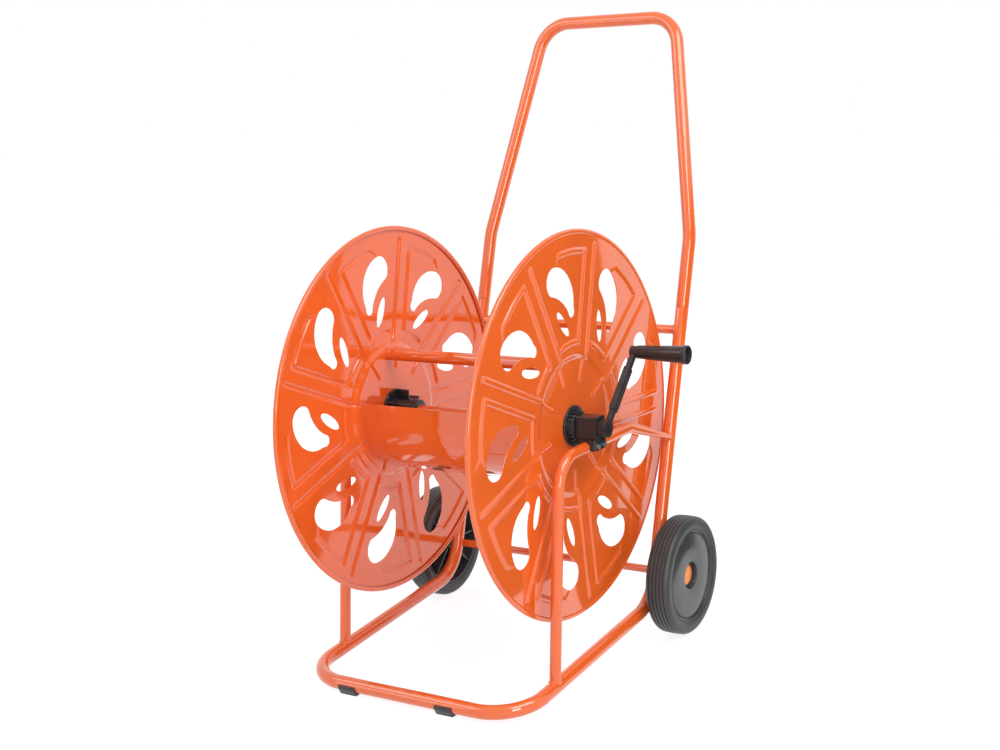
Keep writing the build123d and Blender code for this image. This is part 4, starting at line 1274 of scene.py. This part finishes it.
def lamp(name, place, width, height, power, hidden):
    """A soft rectangular lamp that looks at the target."""
    light = bpy.data.lights.new(name, "AREA")
    light.shape, light.size, light.size_y, light.energy = "RECTANGLE", width, height, power
    made = linked(name, light)
    toward = np.subtract(place, lamp_target)
    side = np.cross([0, 0, 1.0], toward)
    made.matrix_world = facing(home + place, side, np.cross(toward, side))
    if hidden:
        setattr(made, hidden, False)


def stage_sheet(name, start, end, rise, material):
    """A sheet of the stage: a line and the same line moved by a rise."""
    corners = np.array([start, end, np.add(end, rise), np.add(start, rise)])
    mesh = bpy.data.meshes.new(name)
    mesh.from_pydata(corners.tolist(), [], [range(len(corners))])
    mesh.materials.append(material)
    made = linked(name, mesh)
    return made


def seen_rays(tree):
    """One for rays that come from the camera, a mirror or glass, and zero for the rest."""
    path = add(tree, "ShaderNodeLightPath").outputs
    seen = path["Is Camera Ray"]
    for other in ("Is Glossy Ray", "Is Transmission Ray"):
        seen = add(tree, "ShaderNodeMath", {0: seen, 1: path[other]}, operation="MAXIMUM").outputs[0]
    return seen


def studio_world():
    """A white surround: full strength where it is seen or mirrored, and a lower level for diffuse light."""
    world = bpy.data.worlds.new("studio")
    tree = emptied(world)
    level = add(tree, "ShaderNodeMapRange", {"Value": seen_rays(tree), "To Min": surround_level})
    sky = add(tree, "ShaderNodeBackground", {"Color": (1, 1, 1, 1), "Strength": level.outputs["Result"]})
    add(tree, "ShaderNodeOutputWorld", {"Surface": sky.outputs[0]})
    return world


def studio_paper(colour):
    """White paper under the object: mostly an even white where it is seen, the rest a diffuse sheet that
    takes shadow."""
    material = bpy.data.materials.new("studio paper")
    tree = emptied(material)
    paper = add(tree, "ShaderNodeBsdfDiffuse", {"Color": linear(colour)})
    glow = add(tree, "ShaderNodeEmission", {"Color": (1, 1, 1, 1), "Strength": floor_glow})
    share = add(tree, "ShaderNodeMath", {0: seen_rays(tree), 1: floor_glow_share}, operation="MULTIPLY")
    both = add(tree, "ShaderNodeMixShader", {0: share.outputs[0], 1: paper.outputs[0], 2: glow.outputs[0]})
    add(tree, "ShaderNodeOutputMaterial", {"Surface": both.outputs[0]})
    return material


def mirror_shade_card():
    """A dim grey sheet that glows faintly and is seen only in mirrors: a painted dark reflection on the
    glossy parts.
    """
    material = bpy.data.materials.new("grey card")
    tree = emptied(material)
    # The faint glow is the painted dark reflection that the discs and tubes show
    card = add(tree, "ShaderNodeEmission", {"Color": (1, 1, 1, 1), "Strength": card_level})
    add(tree, "ShaderNodeOutputMaterial", {"Surface": card.outputs[0]})
    return material


class CART_OT_stage(bpy.types.Operator):
    """Sets the floor, the studio light and the camera"""

    bl_idname = "cart.stage"
    bl_label = "Stage"

    def execute(self, context):
        scene = context.scene
        scene.view_settings.view_transform = "Standard"
        scene.world = studio_world()
        paper = studio_paper(scene.cart_colours.floor)
        ends = (-floor_half, -floor_half, 0), (floor_half, -floor_half, 0)
        stage_sheet("studio_floor", *ends, (0, 2 * floor_half, 0), paper)
        # Only mirrors show the card: a dim sheet that paints a dark reflection on the painted discs beside
        # the white surround
        card = stage_sheet("studio_card", *(home + card_line), card_rise, mirror_shade_card())
        for rays in ("camera", "diffuse", "shadow", "transmission"):
            setattr(card, f"visible_{rays}", False)
        for name, settings in lamps.items():
            lamp(name, *settings)
        camera = bpy.data.cameras.new("photo_camera")
        camera.sensor_width = camera_sensor
        camera.lens = camera_sensor * camera_focus
        scene.camera = linked("photo_camera", camera)
        scene.camera.matrix_world = facing(home + camera_place, camera_right, camera_up)
        return {"FINISHED"}


operators = (
    CART_OT_frame, CART_OT_discs, CART_OT_drum, CART_OT_hubs, CART_OT_crank, CART_OT_wheels, CART_OT_feet,
    CART_OT_stage,
)
property_groups = {
    "cart_tubes": TubeSizes, "cart_reel": ReelSizes, "cart_hubs": HubSizes, "cart_wheels": WheelSizes,
    "cart_feet": FootSizes, "cart_colours": Colours,
}


class CART_PT_panel(bpy.types.Panel):
    """Lists the cart's pieces and their sizes"""

    bl_idname = "CART_PT_panel"
    bl_label = "Hose cart"
    bl_space_type = "VIEW_3D"
    bl_region_type = "UI"
    bl_category = "Hose cart"

    def draw(self, context):
        for operator in operators:
            self.layout.operator(operator.bl_idname)
        for group, kind in property_groups.items():
            for name in kind.__annotations__:
                self.layout.prop(getattr(context.scene, group), name)


def register():
    for group, kind in property_groups.items():
        bpy.utils.register_class(kind)
        setattr(bpy.types.Scene, group, bpy.props.PointerProperty(type=kind))
    for kind in (*operators, CART_PT_panel):
        bpy.utils.register_class(kind)


def unregister():
    for kind in reversed((*operators, CART_PT_panel)):
        bpy.utils.unregister_class(kind)
    for group, kind in property_groups.items():
        delattr(bpy.types.Scene, group)
        bpy.utils.unregister_class(kind)


def main():
    register()
    bpy.ops.cart.frame()
    bpy.ops.cart.discs()
    bpy.ops.cart.drum()
    bpy.ops.cart.hubs()
    bpy.ops.cart.crank()
    bpy.ops.cart.wheels()
    bpy.ops.cart.feet()
    bpy.ops.cart.stage()


if __name__ == "__main__":
    main()
